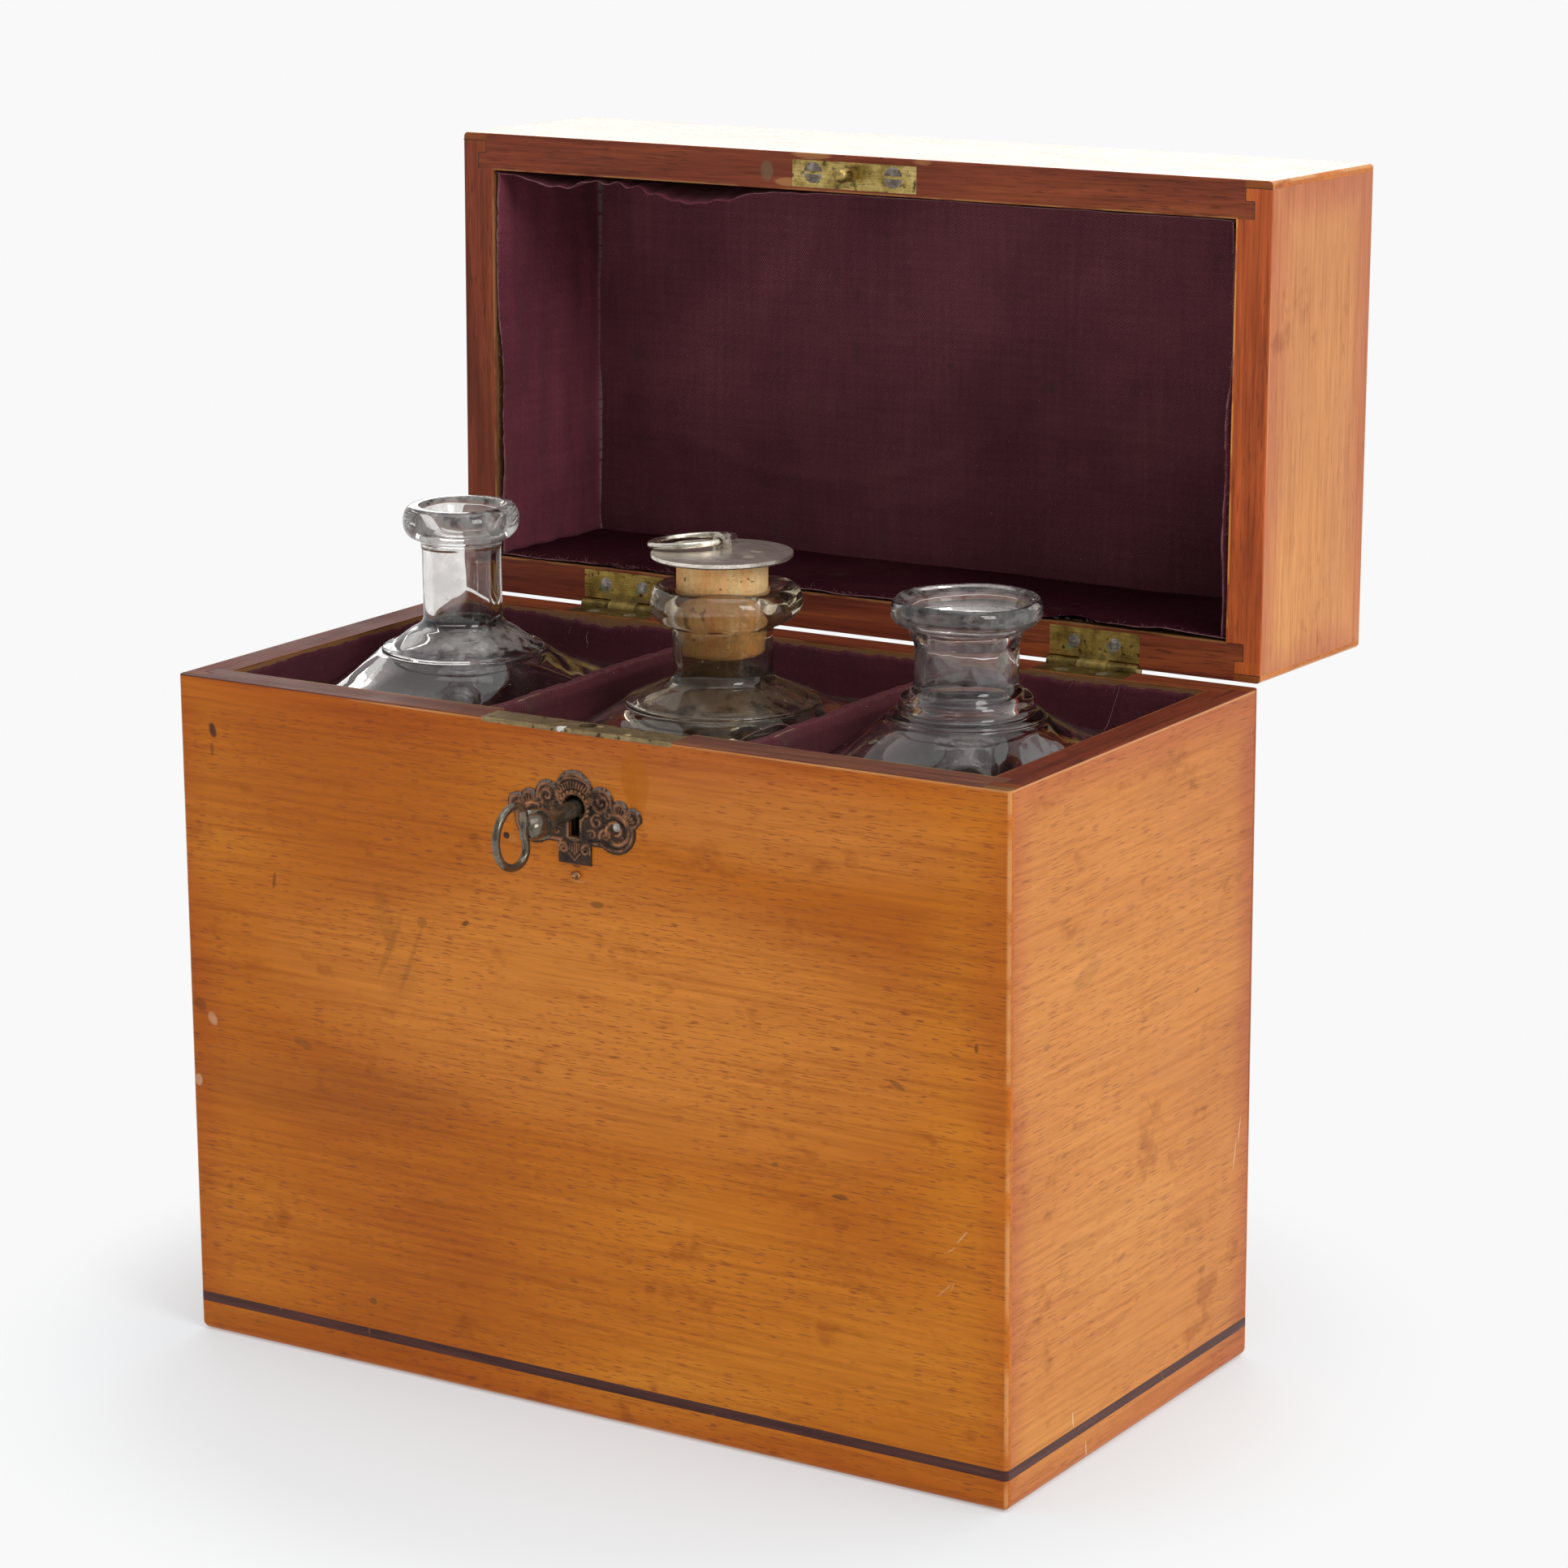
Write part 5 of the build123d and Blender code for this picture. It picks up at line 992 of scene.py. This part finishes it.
def bronzed():
    """Black-brown bronzing in the hollows, copper on what stands out, grey on the upper edges as wear and as
    a painted highlight.
    """
    finish, net, output = finish_named("bronzed_copper")
    place = add(net, "TexCoord").outputs["Object"]
    up = sums(net, "SUBTRACT", -HALF_D, add(net, "SeparateXYZ", ("Vector", place)).outputs["Y"])
    edge, upward, _ = add(net, "SeparateXYZ", ("Vector", add(net, "UVMap").outputs[0])).outputs
    cloud = noise(net, place, 260, 4.0, 0.62, shift=1.0)
    grit = noise(net, place, 1500, 3.0, 0.65, shift=5.0)
    base = colours(net, cloud, (0.34, (0.045, 0.026, 0.017)), (0.5, (0.085, 0.046, 0.029)),
                   (0.68, (0.16, 0.080, 0.045)))
    raised = sums(net, "ADD", sums(net, "MULTIPLY", up, 1000.0),
                  sums(net, "MULTIPLY", sums(net, "SUBTRACT", grit, 0.5), 0.5))
    base = over(net, base, (0.34, 0.32, 0.30), soft_step(net, raised, 0.72, 0.42), "MULTIPLY")
    warm = sums(net, "MULTIPLY", soft_step(net, raised, 0.60, 0.95), soft_step(net, cloud, 0.34, 0.58))
    base = over(net, base, (0.42, 0.175, 0.075), sums(net, "MULTIPLY", warm, 0.75))
    bright = sums(net, "MULTIPLY", soft_step(net, raised, 0.95, 1.12), soft_step(net, cloud, 0.46, 0.62))
    base = over(net, base, (0.72, 0.33, 0.12), sums(net, "MULTIPLY", bright, 0.8))
    # Grey on the outline's upward-facing edges only: partly wear, partly a painted highlight from the light
    # above.
    rim = sums(net, "MULTIPLY", soft_step(net, edge, 1.0, 0.5), soft_step(net, upward, 0.25, 0.75))
    rim = sums(net, "MULTIPLY", rim, soft_step(net, grit, 0.36, 0.55))
    base = over(net, base, (0.34, 0.29, 0.275), sums(net, "MULTIPLY", rim, 0.6))
    dull = sums(net, "ADD", 0.36, sums(net, "MULTIPLY", soft_step(net, grit, 0.4, 0.7), 0.22))
    bump = add(net, "Bump", ("Strength", 0.35), ("Distance", 0.0002), ("Height", grit))
    coat = add(net, "BsdfPrincipled", ("Base Color", base), ("Metallic", 0.65), ("Roughness", dull),
               ("Normal", bump.outputs[0]))
    net.links.new(coat.outputs[0], output.inputs["Surface"])
    return finish


stamped_plate().data.materials.append(bronzed())


def lathe(name, outline, sides, wobble, seed):
    """A closed turned shape from an outline of (radius, height) points that starts and ends on the axis, its
    radius uneven by about wobble of itself."""
    outline = np.asarray(outline, float)
    angle = np.linspace(0, 2 * np.pi, sides, endpoint=False)
    rings = outline[1:-1]
    uneven = ripple(np.cos(angle)[None] * 3, rings[:, 1:] + np.sin(angle)[None] * 3, 2.0, seed)
    r = rings[:, :1] * (1 + wobble * uneven)
    points = np.stack([r * np.cos(angle), r * np.sin(angle), np.repeat(rings[:, 1:], sides, 1)], -1)
    points = np.vstack([points.reshape(-1, 3), [0, 0, outline[0, 1]], [0, 0, outline[-1, 1]]])
    count = len(rings) * sides
    quads = grid_quads(len(rings), sides, closed_v=True)[:, ::-1]
    first, after = np.arange(sides), np.roll(np.arange(sides), -1)
    tips = [[count, b, a] for a, b in zip(first, after)]
    tips += [[count + 1, count - sides + a, count - sides + b] for a, b in zip(first, after)]
    return mesh_object(name, points / 1000, quads.tolist() + tips)


def old_pin():
    """The broken-off copper nail below the plate, its stump bent down in the wood."""
    stump = lathe("broken_nail", [(0, -0.6), (0.62, -0.6), (0.7, 0.2), (1.0, 0.5), (1.12, 0.75), (0.8, 1.0),
                                  (0.3, 1.08), (0, 1.08)], 24, 0.12, 5)
    points = np.array([vertex.co for vertex in stump.data.vertices])
    points = np.column_stack([points[:, 0] * 1.5, -points[:, 2] * 1.3,
                              points[:, 1] * 1.15 - points[:, 2] * 0.4])
    points = points + (0.00128, -HALF_D, 0.17275)
    stump.data.vertices.foreach_set("co", points.ravel())
    stump.data.materials.append(metal("nail_copper", (0.34, (0.10, 0.035, 0.015)),
                                      (0.5, (0.26, 0.10, 0.04)), (0.68, (0.75, 0.40, 0.20)), scale=3.0,
                                      rough=0.35))
    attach(stump, "case")


old_pin()


# ---- Key: forged and filed steel, hollow barrel, turned collar and a kidney-shaped bow; dark grey brown
# with a bright rub along the barrel and on the boss.
dress(metal("key_steel", (0.34, (0.105, 0.089, 0.067)), (0.5, (0.15, 0.13, 0.10)),
            (0.66, (0.23, 0.205, 0.165)), along="y", stain=(0.07, 0.05, 0.032), stained=0.70, rough=0.19,
            metallic=0.8, patchy=0.09, pitted=0.06), "key")


# ---- Bottles: three moulded, mouth-finished bottles of clear, faintly grey glass. Oblong, with soft
# corners, each has a sloping shoulder, a disc at the neck's foot, a neck and an applied ring lip, none
# quite true, thick and uneven inside. Dried spirit has left specks, a film and brown lines.
BOTTLES = {
    "left": dict(x=-95.5, edge=203.5, disc=26.0, disc_z=218.7, foot=224.5, neck=12.75, bore=9.5,
                 lip_low=253.0, lip_mid=258.6, lip_top=264.0, lip=18.6, crest=15.0, mouth=12.3,
                 funnel=7.0),
    "middle": dict(x=3.8, edge=203.0, disc=30.5, disc_z=212.7, foot=217.6, neck=15.7, bore=12.95,
                   lip_low=236.3, lip_mid=242.6, lip_top=248.0, lip=23.7, crest=18.6, mouth=14.35,
                   funnel=21.6, skew=1.3),
    "right": dict(x=91.0, edge=202.5, disc=24.0, disc_z=218.0, foot=224.0, neck=15.9, bore=12.6,
                  lip_low=243.0, lip_mid=248.8, lip_top=251.6, lip=22.9, crest=20.4, mouth=17.0,
                  funnel=8.0, flare=1.2),
}
BOTTLE_W, BOTTLE_D, BOTTLE_CORNER, BOTTLE_LOW = 38.03, 60.0, 14.0, 9.8
GLASS, BASE = 4.0, 7.0
BOTTLE_SIDES = 192


def oblong_radius(half_w, half_d, corner, cos, sin):
    """Distance from the middle to a rectangle with rounded corners, along directions of cos and sin."""
    a, b = half_w - corner, half_d - corner
    cos, sin = np.abs(cos), np.abs(sin)
    flat_w, flat_d = half_w / np.maximum(cos, 1e-9), half_d / np.maximum(sin, 1e-9)
    ahead = cos * a + sin * b
    round_part = ahead + np.sqrt(np.maximum(ahead ** 2 - (a ** 2 + b ** 2 - corner ** 2), 0))
    return np.where(flat_w * sin <= b, flat_w, np.where(flat_d * cos <= a, flat_d, round_part))


def soften(rows, times):
    """Corner cutting: each inner stretch of the outline gives way to its points at a quarter and at three
    quarters."""
    for _ in range(times):
        cut = np.stack([0.75 * rows[:-1] + 0.25 * rows[1:], 0.25 * rows[:-1] + 0.75 * rows[1:]], 1)
        rows = np.vstack([rows[:1], cut.reshape(-1, rows.shape[1]), rows[-1:]])
    return rows


def bottle_rows(b):
    """Half width, half depth, corner and height down the outside from the lip, and down the inside."""
    def ring(r, z):
        return (r, r, r, z)
    low, disc_z, r = BOTTLE_LOW, b["disc_z"], min(b["disc"], BOTTLE_W - 4.1)
    ledge = r + 1.3
    fall = disc_z - 1.6 - b["edge"]
    arc = np.linspace(-0.46 * np.pi, 0.44 * np.pi, 11)
    mid, tall = b["lip_mid"], (b["lip_top"] - b["lip_low"]) / 2
    bulge = []
    for a in arc[::-1]:
        base = b["neck"] if a < 0 else b["crest"]
        bulge.append(ring(base + (b["lip"] - base) * math.cos(a) ** 0.8, mid + tall * 1.02 * math.sin(a)))
    outside = [ring(b["mouth"] + 1.0, b["lip_top"] - 0.25),
               ring((b["mouth"] + b["crest"]) / 2, b["lip_top"] + 0.1)] + bulge
    flare = b.get("flare", 0.3)
    outside += [ring(b["neck"] + flare, b["lip_low"] - 0.9),
                ring(b["neck"] + flare * 0.45, b["lip_low"] - 2.4)]
    outside += [ring(b["neck"] - 0.1, z) for z in np.linspace(b["lip_low"] - 4, b["foot"] + 4, 5)]
    outside += [ring(b["neck"] + 0.3, b["foot"] + 1.9), ring(b["neck"] + 1.9, b["foot"] + 0.3),
                ring(b["neck"] + 4.5, b["foot"] - 0.9)]
    outside += [ring(r - 3.5, disc_z + 0.75), ring(r - 0.9, disc_z + 0.05), ring(r, disc_z - 0.6),
                ring(r, disc_z - 1.5), ring(r + 0.6, disc_z - 1.75)]
    outside += [(ledge, ledge, ledge - 0.1, disc_z - 1.8),
                (ledge + 0.45 * (BOTTLE_W - ledge), ledge + 0.3 * (BOTTLE_D - ledge), 0.8 * ledge,
                 disc_z - 1.6 - 0.56 * fall),
                (BOTTLE_W - 1.6, BOTTLE_D - 3.0, BOTTLE_CORNER + 1, b["edge"]),
                (BOTTLE_W, BOTTLE_D, BOTTLE_CORNER, b["edge"] - 4)]
    outside += [(BOTTLE_W, BOTTLE_D, BOTTLE_CORNER, z) for z in np.linspace(b["edge"] - 9, low + 6, 12)]
    outside += [(BOTTLE_W, BOTTLE_D, BOTTLE_CORNER, low + 3),
                (BOTTLE_W - 0.8, BOTTLE_D - 0.8, BOTTLE_CORNER - 0.8, low + 0.9),
                (BOTTLE_W - 3, BOTTLE_D - 3, BOTTLE_CORNER - 3, low + 0.02), (27, 40, 20, low + 0.02),
                ring(25.5, low + 0.15), ring(13, low + 2.4), ring(0.4, low + 3.0)]
    w, d, top = BOTTLE_W - GLASS, BOTTLE_D - GLASS, disc_z - 1.6 - GLASS
    inside = [ring(b["mouth"] + 1.0, b["lip_top"] - 0.25), ring(b["mouth"], b["lip_top"] - 0.9),
              ring(b["bore"] + 0.15, b["lip_top"] - b["funnel"]),
              ring(b["bore"], b["lip_top"] - b["funnel"] - 2)]
    if b["funnel"] < 15:
        straight = np.linspace(b["lip_top"] - b["funnel"] - 5, b["foot"] + 2, 3)
        inside += [ring(b["bore"], z) for z in straight]
    inside += [ring(b["bore"], b["foot"] - 0.5), ring(b["bore"] + 1.5, b["foot"] - 2.5),
               ring(ledge - 5.5, top + 0.6)]
    inside += [(ledge - 3.4, ledge - 3.4, ledge - 3.5, top - 0.8),
               (ledge + 0.45 * (BOTTLE_W - ledge) - GLASS, ledge + 0.3 * (BOTTLE_D - ledge) - GLASS,
                0.8 * ledge - 2, disc_z - 1.6 - 0.56 * fall - GLASS),
               (w - 1.6, d - 3, BOTTLE_CORNER - 1, b["edge"] - GLASS),
               (w, d, BOTTLE_CORNER - 2, b["edge"] - 8)]
    inside += [(w, d, BOTTLE_CORNER - 2, z) for z in np.linspace(b["edge"] - 14, low + BASE + 8, 12)]
    inside += [(w - 1, d - 1, BOTTLE_CORNER - 3, low + BASE + 2.5),
               (w - 4, d - 4, BOTTLE_CORNER - 5, low + BASE + 0.2), (24, 36, 14, low + BASE),
               ring(12, low + BASE), ring(0.4, low + BASE)]
    return soften(np.array(outside, float), 2), soften(np.array(inside, float), 2)


def bottle(name, seed):
    """The two surfaces joined at the mouth and closed at the middle of the base; the outside wavers by a
    few tenths of a millimetre and the inside by more."""
    b = BOTTLES[name]
    outside, inside = bottle_rows(b)
    rows = np.vstack([outside[::-1], inside[1:]])
    inner = np.concatenate([np.zeros(len(outside)), np.ones(len(inside) - 1)])
    t = np.linspace(0, 2 * np.pi, 4001)
    border = oblong_radius(BOTTLE_W, BOTTLE_D, BOTTLE_CORNER, np.cos(t), np.sin(t))
    way = np.concatenate([[0], np.cumsum(np.hypot(np.diff(border * np.cos(t)),
                                                  np.diff(border * np.sin(t))))])
    by_length = np.interp(np.linspace(0, way[-1], BOTTLE_SIDES + 1)[:-1], way, t)
    turn = 0.5 * by_length + 0.5 * np.linspace(0, 2 * np.pi, BOTTLE_SIDES + 1)[:-1]
    w, d, c, z = (rows[:, n:n + 1] for n in range(4))
    r = oblong_radius(w, d, c, np.cos(turn)[None], np.sin(turn)[None])
    x, y = r * np.cos(turn), r * np.sin(turn)
    size = np.clip(r / 30, 0, 1)
    waver = 0.07 * ripple(x + 0.6 * z, y - 0.8 * z, 26, seed) * (1 - inner[:, None])
    thick = 0.26 * ripple(x + 0.5 * z, y + 0.7 * z, 24, seed + 1)
    thick = (thick + 0.07 * ripple(x + z, y - 0.6 * z, 9, seed + 2)) * inner[:, None]
    grown = r + waver * size - np.abs(thick) * size
    flat = np.clip((BOTTLE_LOW + BASE + 3 - z) / 3, 0, 1) * inner[:, None]
    lean = 0.35 * ripple(x, y, 40, seed + 3) * np.clip((z - b["disc_z"] - 8) / 30, 0, 1)
    skew = b.get("skew", 0) * np.clip((z - b["lip_low"]) / 6, 0, 1) * np.clip(r / b["neck"] - 0.9, 0, 1) * 2
    points = np.stack([grown * np.cos(turn) + b["x"] + skew, grown * np.sin(turn),
                       z + lean + 0.15 * flat * ripple(x, y, 18, seed + 4) * np.clip(r / 5, 0, 1)], -1)
    count, sides = len(rows), BOTTLE_SIDES
    points = np.vstack([points.reshape(-1, 3), [b["x"], 0, BOTTLE_LOW + 3.0],
                        [b["x"], 0, BOTTLE_LOW + BASE]])
    quads = grid_quads(count, sides, closed_v=True)[:, ::-1]
    first, after = np.arange(sides), np.roll(np.arange(sides), -1)
    tips = [[count * sides, q, p] for p, q in zip(first, after)]
    tips += [[count * sides + 1, (count - 1) * sides + p, (count - 1) * sides + q]
             for p, q in zip(first, after)]
    made = mesh_object(f"bottle_{name}_glass", points / 1000, quads.tolist() + tips)
    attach(made, f"bottle_{name}")
    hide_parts(f"bottle_{name}")
    return made


def glass(name, tint, film, stains_and_reflection=(), lines=()):
    """Clear glass under a thin dry film that is denser in patches, with specks of dust. Stains, and one
    painted reflection, are a centre in millimetres, its half widths, a colour and a strength; lines are a
    height, its tilt, half its width and a colour."""
    finish, net, output = finish_named(name)
    place = add(net, "TexCoord").outputs["Object"]
    x, _, z = add(net, "SeparateXYZ", ("Vector", place)).outputs
    cloud = noise(net, place, 55, 4.0, 0.62, shift=len(name))
    speck = noise(net, place, 620, 2.0, 0.6, shift=4.0)
    clear = add(net, "BsdfGlass", ("Color", (*tint, 1)), ("Roughness", 0.0), ("IOR", 1.5))
    shine = add(net, "BsdfGlossy", ("Color", (1, 1, 1, 1)), ("Roughness", 0.03))
    clear = add(net, "MixShader", (0, 0.012), (1, clear.outputs[0]), (2, shine.outputs[0]))
    veil = add(net, "BsdfDiffuse", ("Color", (0.62, 0.60, 0.58, 1)))
    cover = sums(net, "MULTIPLY", soft_step(net, cloud, 0.42, 0.70), film)
    cover = sums(net, "ADD", cover, sums(net, "MULTIPLY", soft_step(net, speck, 0.735, 0.76), 0.55))
    skin = add(net, "MixShader", (0, cover), (1, clear.outputs[0]), (2, veil.outputs[0])).outputs[0]
    ragged = sums(net, "MULTIPLY", sums(net, "SUBTRACT", noise(net, place, 260, 3.0, 0.6, shift=7.0), 0.5),
                  2.6)
    for centre, half, colour, strength in stains_and_reflection:
        away = add(net, "VectorMath", (0, place), (1, [value / 1000 for value in centre]),
                   operation="SUBTRACT").outputs[0]
        away = add(net, "VectorMath", (0, away), (1, [1000 / value for value in half]),
                   operation="MULTIPLY").outputs[0]
        far = sums(net, "ADD", add(net, "VectorMath", (0, away), operation="LENGTH").outputs["Value"],
                   ragged)
        paint = add(net, "BsdfPrincipled", ("Base Color", (*colour, 1)), ("Roughness", 0.6))
        skin = add(net, "MixShader", (0, sums(net, "MULTIPLY", soft_step(net, far, 1.2, 0.7), strength)),
                   (1, skin), (2, paint.outputs[0])).outputs[0]
    for height, tilt, half, colour in lines:
        at = sums(net, "ADD", height / 1000, sums(net, "MULTIPLY", x, tilt))
        off = sums(net, "ABSOLUTE", sums(net, "SUBTRACT", z, at))
        broken = soft_step(net, cloud, 0.40, 0.50)
        paint = add(net, "BsdfPrincipled", ("Base Color", (*colour, 1)), ("Roughness", 0.6))
        skin = add(net, "MixShader",
                   (0, sums(net, "MULTIPLY", soft_step(net, off, half / 1000, half / 2500), broken)),
                   (1, skin), (2, paint.outputs[0])).outputs[0]
    net.links.new(skin, output.inputs["Surface"])
    return finish


BROWN, AMBER, SOOT = (0.16, 0.055, 0.02), (0.20, 0.11, 0.04), (0.02, 0.018, 0.016)
left_glass = glass("left_glass", (0.965, 0.955, 0.947), 0.03,
                   (((-95, 0, 221.5), (27, 27, 3.6), (0.60, 0.57, 0.54), 0.22),
                    # Painted reflection: a pale film on the left lip stands in for its soft white
                    # reflections.
                    ((-95.5, 0, 258.5), (21, 21, 7), (0.80, 0.78, 0.74), 0.20),
                    ((-95, -14, 240), (12, 6, 11), (0.55, 0.52, 0.48), 0.12)),
                   ((252.6, 0.02, 0.35, BROWN),))
middle_glass = glass("middle_glass", (0.955, 0.92, 0.84), 0.04,
                     (((3.8, -12, 228), (16, 8, 9), AMBER, 0.15),
                      ((3.8, 0, 215), (34, 34, 4.0), (0.15, 0.09, 0.045), 0.38),
                      ((3.8, 0, 241.5), (26, 26, 6), (0.32, 0.14, 0.045), 0.17),
                      ((-8, -14, 218.5), (2.2, 2, 1.6), (0.10, 0.05, 0.03), 0.85),
                      ((-8, -16, 241), (12, 12, 5), AMBER, 0.22)),
                     ((236.0, 0.0, 0.3, BROWN),))
right_glass = glass("right_glass", (0.962, 0.945, 0.938), 0.02,
                    (((80.5, -11, 239), (2.0, 3.0, 4.0), SOOT, 0.9),
                     ((91, 0, 248), (25, 25, 6), (0.70, 0.67, 0.64), 0.12),
                     ((91, -4, 232), (17, 17, 9), (0.60, 0.55, 0.54), 0.10)))
bottle("left", 81).data.materials.append(left_glass)
bottle("middle", 91).data.materials.append(middle_glass)
bottle("right", 101).data.materials.append(right_glass)


# ---- Stopper: a tapered cork, pitted and darker where it has been wet, under a thick pressed disc of
# nickel silver with a staple and a loose wire ring, yellowed and stained.
def cork_body():
    """A turned cork from its underside to the disc, its faces pitted and its lower edge ragged."""
    low, mouth, top, slope = 226.8, 248.0, 256.7, 1.4 / 21.6
    middle, sides = BOTTLES["middle"]["x"], 240
    z = np.concatenate([np.linspace(low, mouth, 90), np.linspace(mouth + 0.2, top, 40)])
    r = np.where(z < mouth, 12.95 + slope * (z - 226.4), 14.35) - 0.12
    turn = np.linspace(0, 2 * np.pi, sides, endpoint=False)
    zz, tt = np.meshgrid(z, turn, indexing="ij")
    around = tt * 13.5
    pits = sum(np.maximum(ripple(around, zz * fine, scale, seed, 12) - 1.15, 0)
               for fine, scale, seed in ((1, 1.4, 71), (2, 2.2, 72), (0.6, 0.9, 73)))
    low_edge = np.clip(1 - (zz - low) / 1.6, 0, 1) ** 2
    torn = low_edge * (0.7 + 0.35 * ripple(np.cos(tt) * 9, np.sin(tt) * 9, 5, 74))
    depth = 0.03 + 0.28 * np.minimum(pits, 1.1) + torn
    radius = r[:, None] - np.clip(depth, 0.0, 1.3)
    points = np.stack([middle + radius * np.cos(tt), radius * np.sin(tt), zz], -1).reshape(-1, 3)
    points = np.vstack([points, [middle, 0, low], [middle, 0, top]])
    rows = len(z)
    quads = grid_quads(rows, sides, closed_v=True)[:, ::-1]
    first, after = np.arange(sides), np.roll(np.arange(sides), -1)
    tips = [[rows * sides, q, p] for p, q in zip(first, after)]
    tips += [[rows * sides + 1, (rows - 1) * sides + p, (rows - 1) * sides + q]
             for p, q in zip(first, after)]
    made = mesh_object("cork_body", points / 1000, quads.tolist() + tips)
    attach(made, "stopper")
    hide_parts("stopper_cork")
    return made


def cork_finish():
    """Tan with long pale and pink streaks, brown pores, and a tide of brown below the mouth."""
    finish, net, output = finish_named("cork_bark")
    place = add(net, "TexCoord").outputs["Object"]
    z = add(net, "SeparateXYZ", ("Vector", place)).outputs["Z"]
    streak = noise(net, place, 190, 4.0, 0.62, (1, 1, 0.22), shift=2.0)
    cell = noise(net, place, 900, 2.0, 0.6, (1, 1, 0.7), shift=4.0)
    hole = noise(net, place, 330, 2.0, 0.55, (1, 1, 1.6), shift=6.0)
    base = colours(net, streak, (0.34, (1.0, 0.50, 0.19)), (0.5, (1.0, 0.62, 0.26)),
                   (0.66, (1.0, 0.74, 0.40)))
    base = over(net, base, colours(net, cell, (0.3, (0.88, 0.85, 0.82)), (0.5, (1, 1, 1)),
                                   (0.7, (1.1, 1.1, 1.1))), 1.0, "MULTIPLY")
    base = over(net, base, (0.19, 0.07, 0.03),
                sums(net, "MULTIPLY", soft_step(net, hole, 0.665, 0.71), 0.8))
    tide = sums(net, "ADD", z, sums(net, "MULTIPLY", sums(net, "SUBTRACT", streak, 0.5), 0.012))
    wet = soft_step(net, tide, 0.2475, 0.2405)
    base = over(net, base, (1.0, 0.80, 0.62), sums(net, "MULTIPLY", wet, 0.3), "MULTIPLY")
    bump = add(net, "Bump", ("Strength", 0.4), ("Distance", 0.0003), ("Height", cell))
    coat = add(net, "BsdfPrincipled", ("Base Color", base), ("Roughness", 0.8), ("Specular IOR Level", 0.2),
               ("Normal", bump.outputs[0]))
    net.links.new(coat.outputs[0], output.inputs["Surface"])
    return finish


cork_body().data.materials.append(cork_finish())
nickel = metal("stained_nickel", (0.34, (0.68, 0.62, 0.54)), (0.5, (0.78, 0.72, 0.64)),
               (0.66, (0.88, 0.83, 0.76)), stain=(0.36, 0.27, 0.18), stained=0.70, rough=0.30,
               metallic=0.88, scale=0.5, patchy=0.05, pitted=0.05,
               marks=(((17.0, -6, 258.6), 1.7, (0.10, 0.05, 0.02), 0.6),
                      ((15.5, 1, 259.2), 2.2, (0.11, 0.06, 0.025), 0.5),
                      ((1.5, -14, 257.6), 1.0, (0.11, 0.06, 0.025), 0.5)))
dress(nickel, "stopper_disc")
dress(metal("bright_nickel", (0.34, (0.42, 0.37, 0.30)), (0.5, (0.70, 0.65, 0.56)),
            (0.66, (0.86, 0.82, 0.74)), stain=(0.22, 0.16, 0.10), stained=0.70, rough=0.24, metallic=0.98,
            patchy=0.10, pitted=0.10), "stopper_ring", "stopper_staple")


# ---- Loose threads: cotton strands, faded pink, that have pulled out of the lining's cut edges and lie
# curled where they came loose, two along the back and one on a divider.
def thread(name, stops):
    """A tube of six sides along a few points in millimetres, smoothed by corner cutting."""
    radius = 0.00009
    line = soften(np.array(stops, float) / 1000, 3)
    ahead = np.gradient(line, axis=0)
    ahead /= np.linalg.norm(ahead, axis=1, keepdims=True)
    side = np.cross(ahead, (0.31, 0.52, 0.79))
    side /= np.linalg.norm(side, axis=1, keepdims=True)
    over_side = np.cross(ahead, side)
    angle = np.linspace(0, 2 * np.pi, 6, endpoint=False)[None, :, None]
    tube = line[:, None] + radius * (side[:, None] * np.cos(angle) + over_side[:, None] * np.sin(angle))
    rows = len(line)
    tips = [[5, 4, 3, 2, 1, 0], [(rows - 1) * 6 + k for k in range(6)]]
    made = mesh_object(name, tube.reshape(-1, 3), grid_quads(rows, 6, closed_v=True).tolist() + tips)
    made.data.materials.append(thread_finish)
    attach(made, "case")


thread("loose_thread_right", [(109, 63.6, 215.5), (107.5, 62.8, 210), (106.2, 62.2, 204.5),
                              (105.6, 60.5, 202), (104.5, 59, 201), (104.2, 58.5, 199.5),
                              (105.6, 58.6, 200.2), (108, 59.5, 202.2), (111.5, 61.5, 203.6),
                              (115, 63.8, 203.8)])
thread("loose_thread_divider", [(45.6, -61, 213.0), (45.0, -56, 213.9), (43.6, -50, 214.2),
                                (43.2, -44, 214.6), (42.6, -38, 214.3), (43.0, -33, 214.8),
                                (45.8, -30, 214.6), (48.5, -31, 214.0)])
thread("loose_thread_left", [(-92, 64.2, 213.8), (-90.5, 63.4, 212), (-91.5, 62.8, 209.5),
                             (-90, 62.4, 207.8), (-91.2, 63.2, 206)])
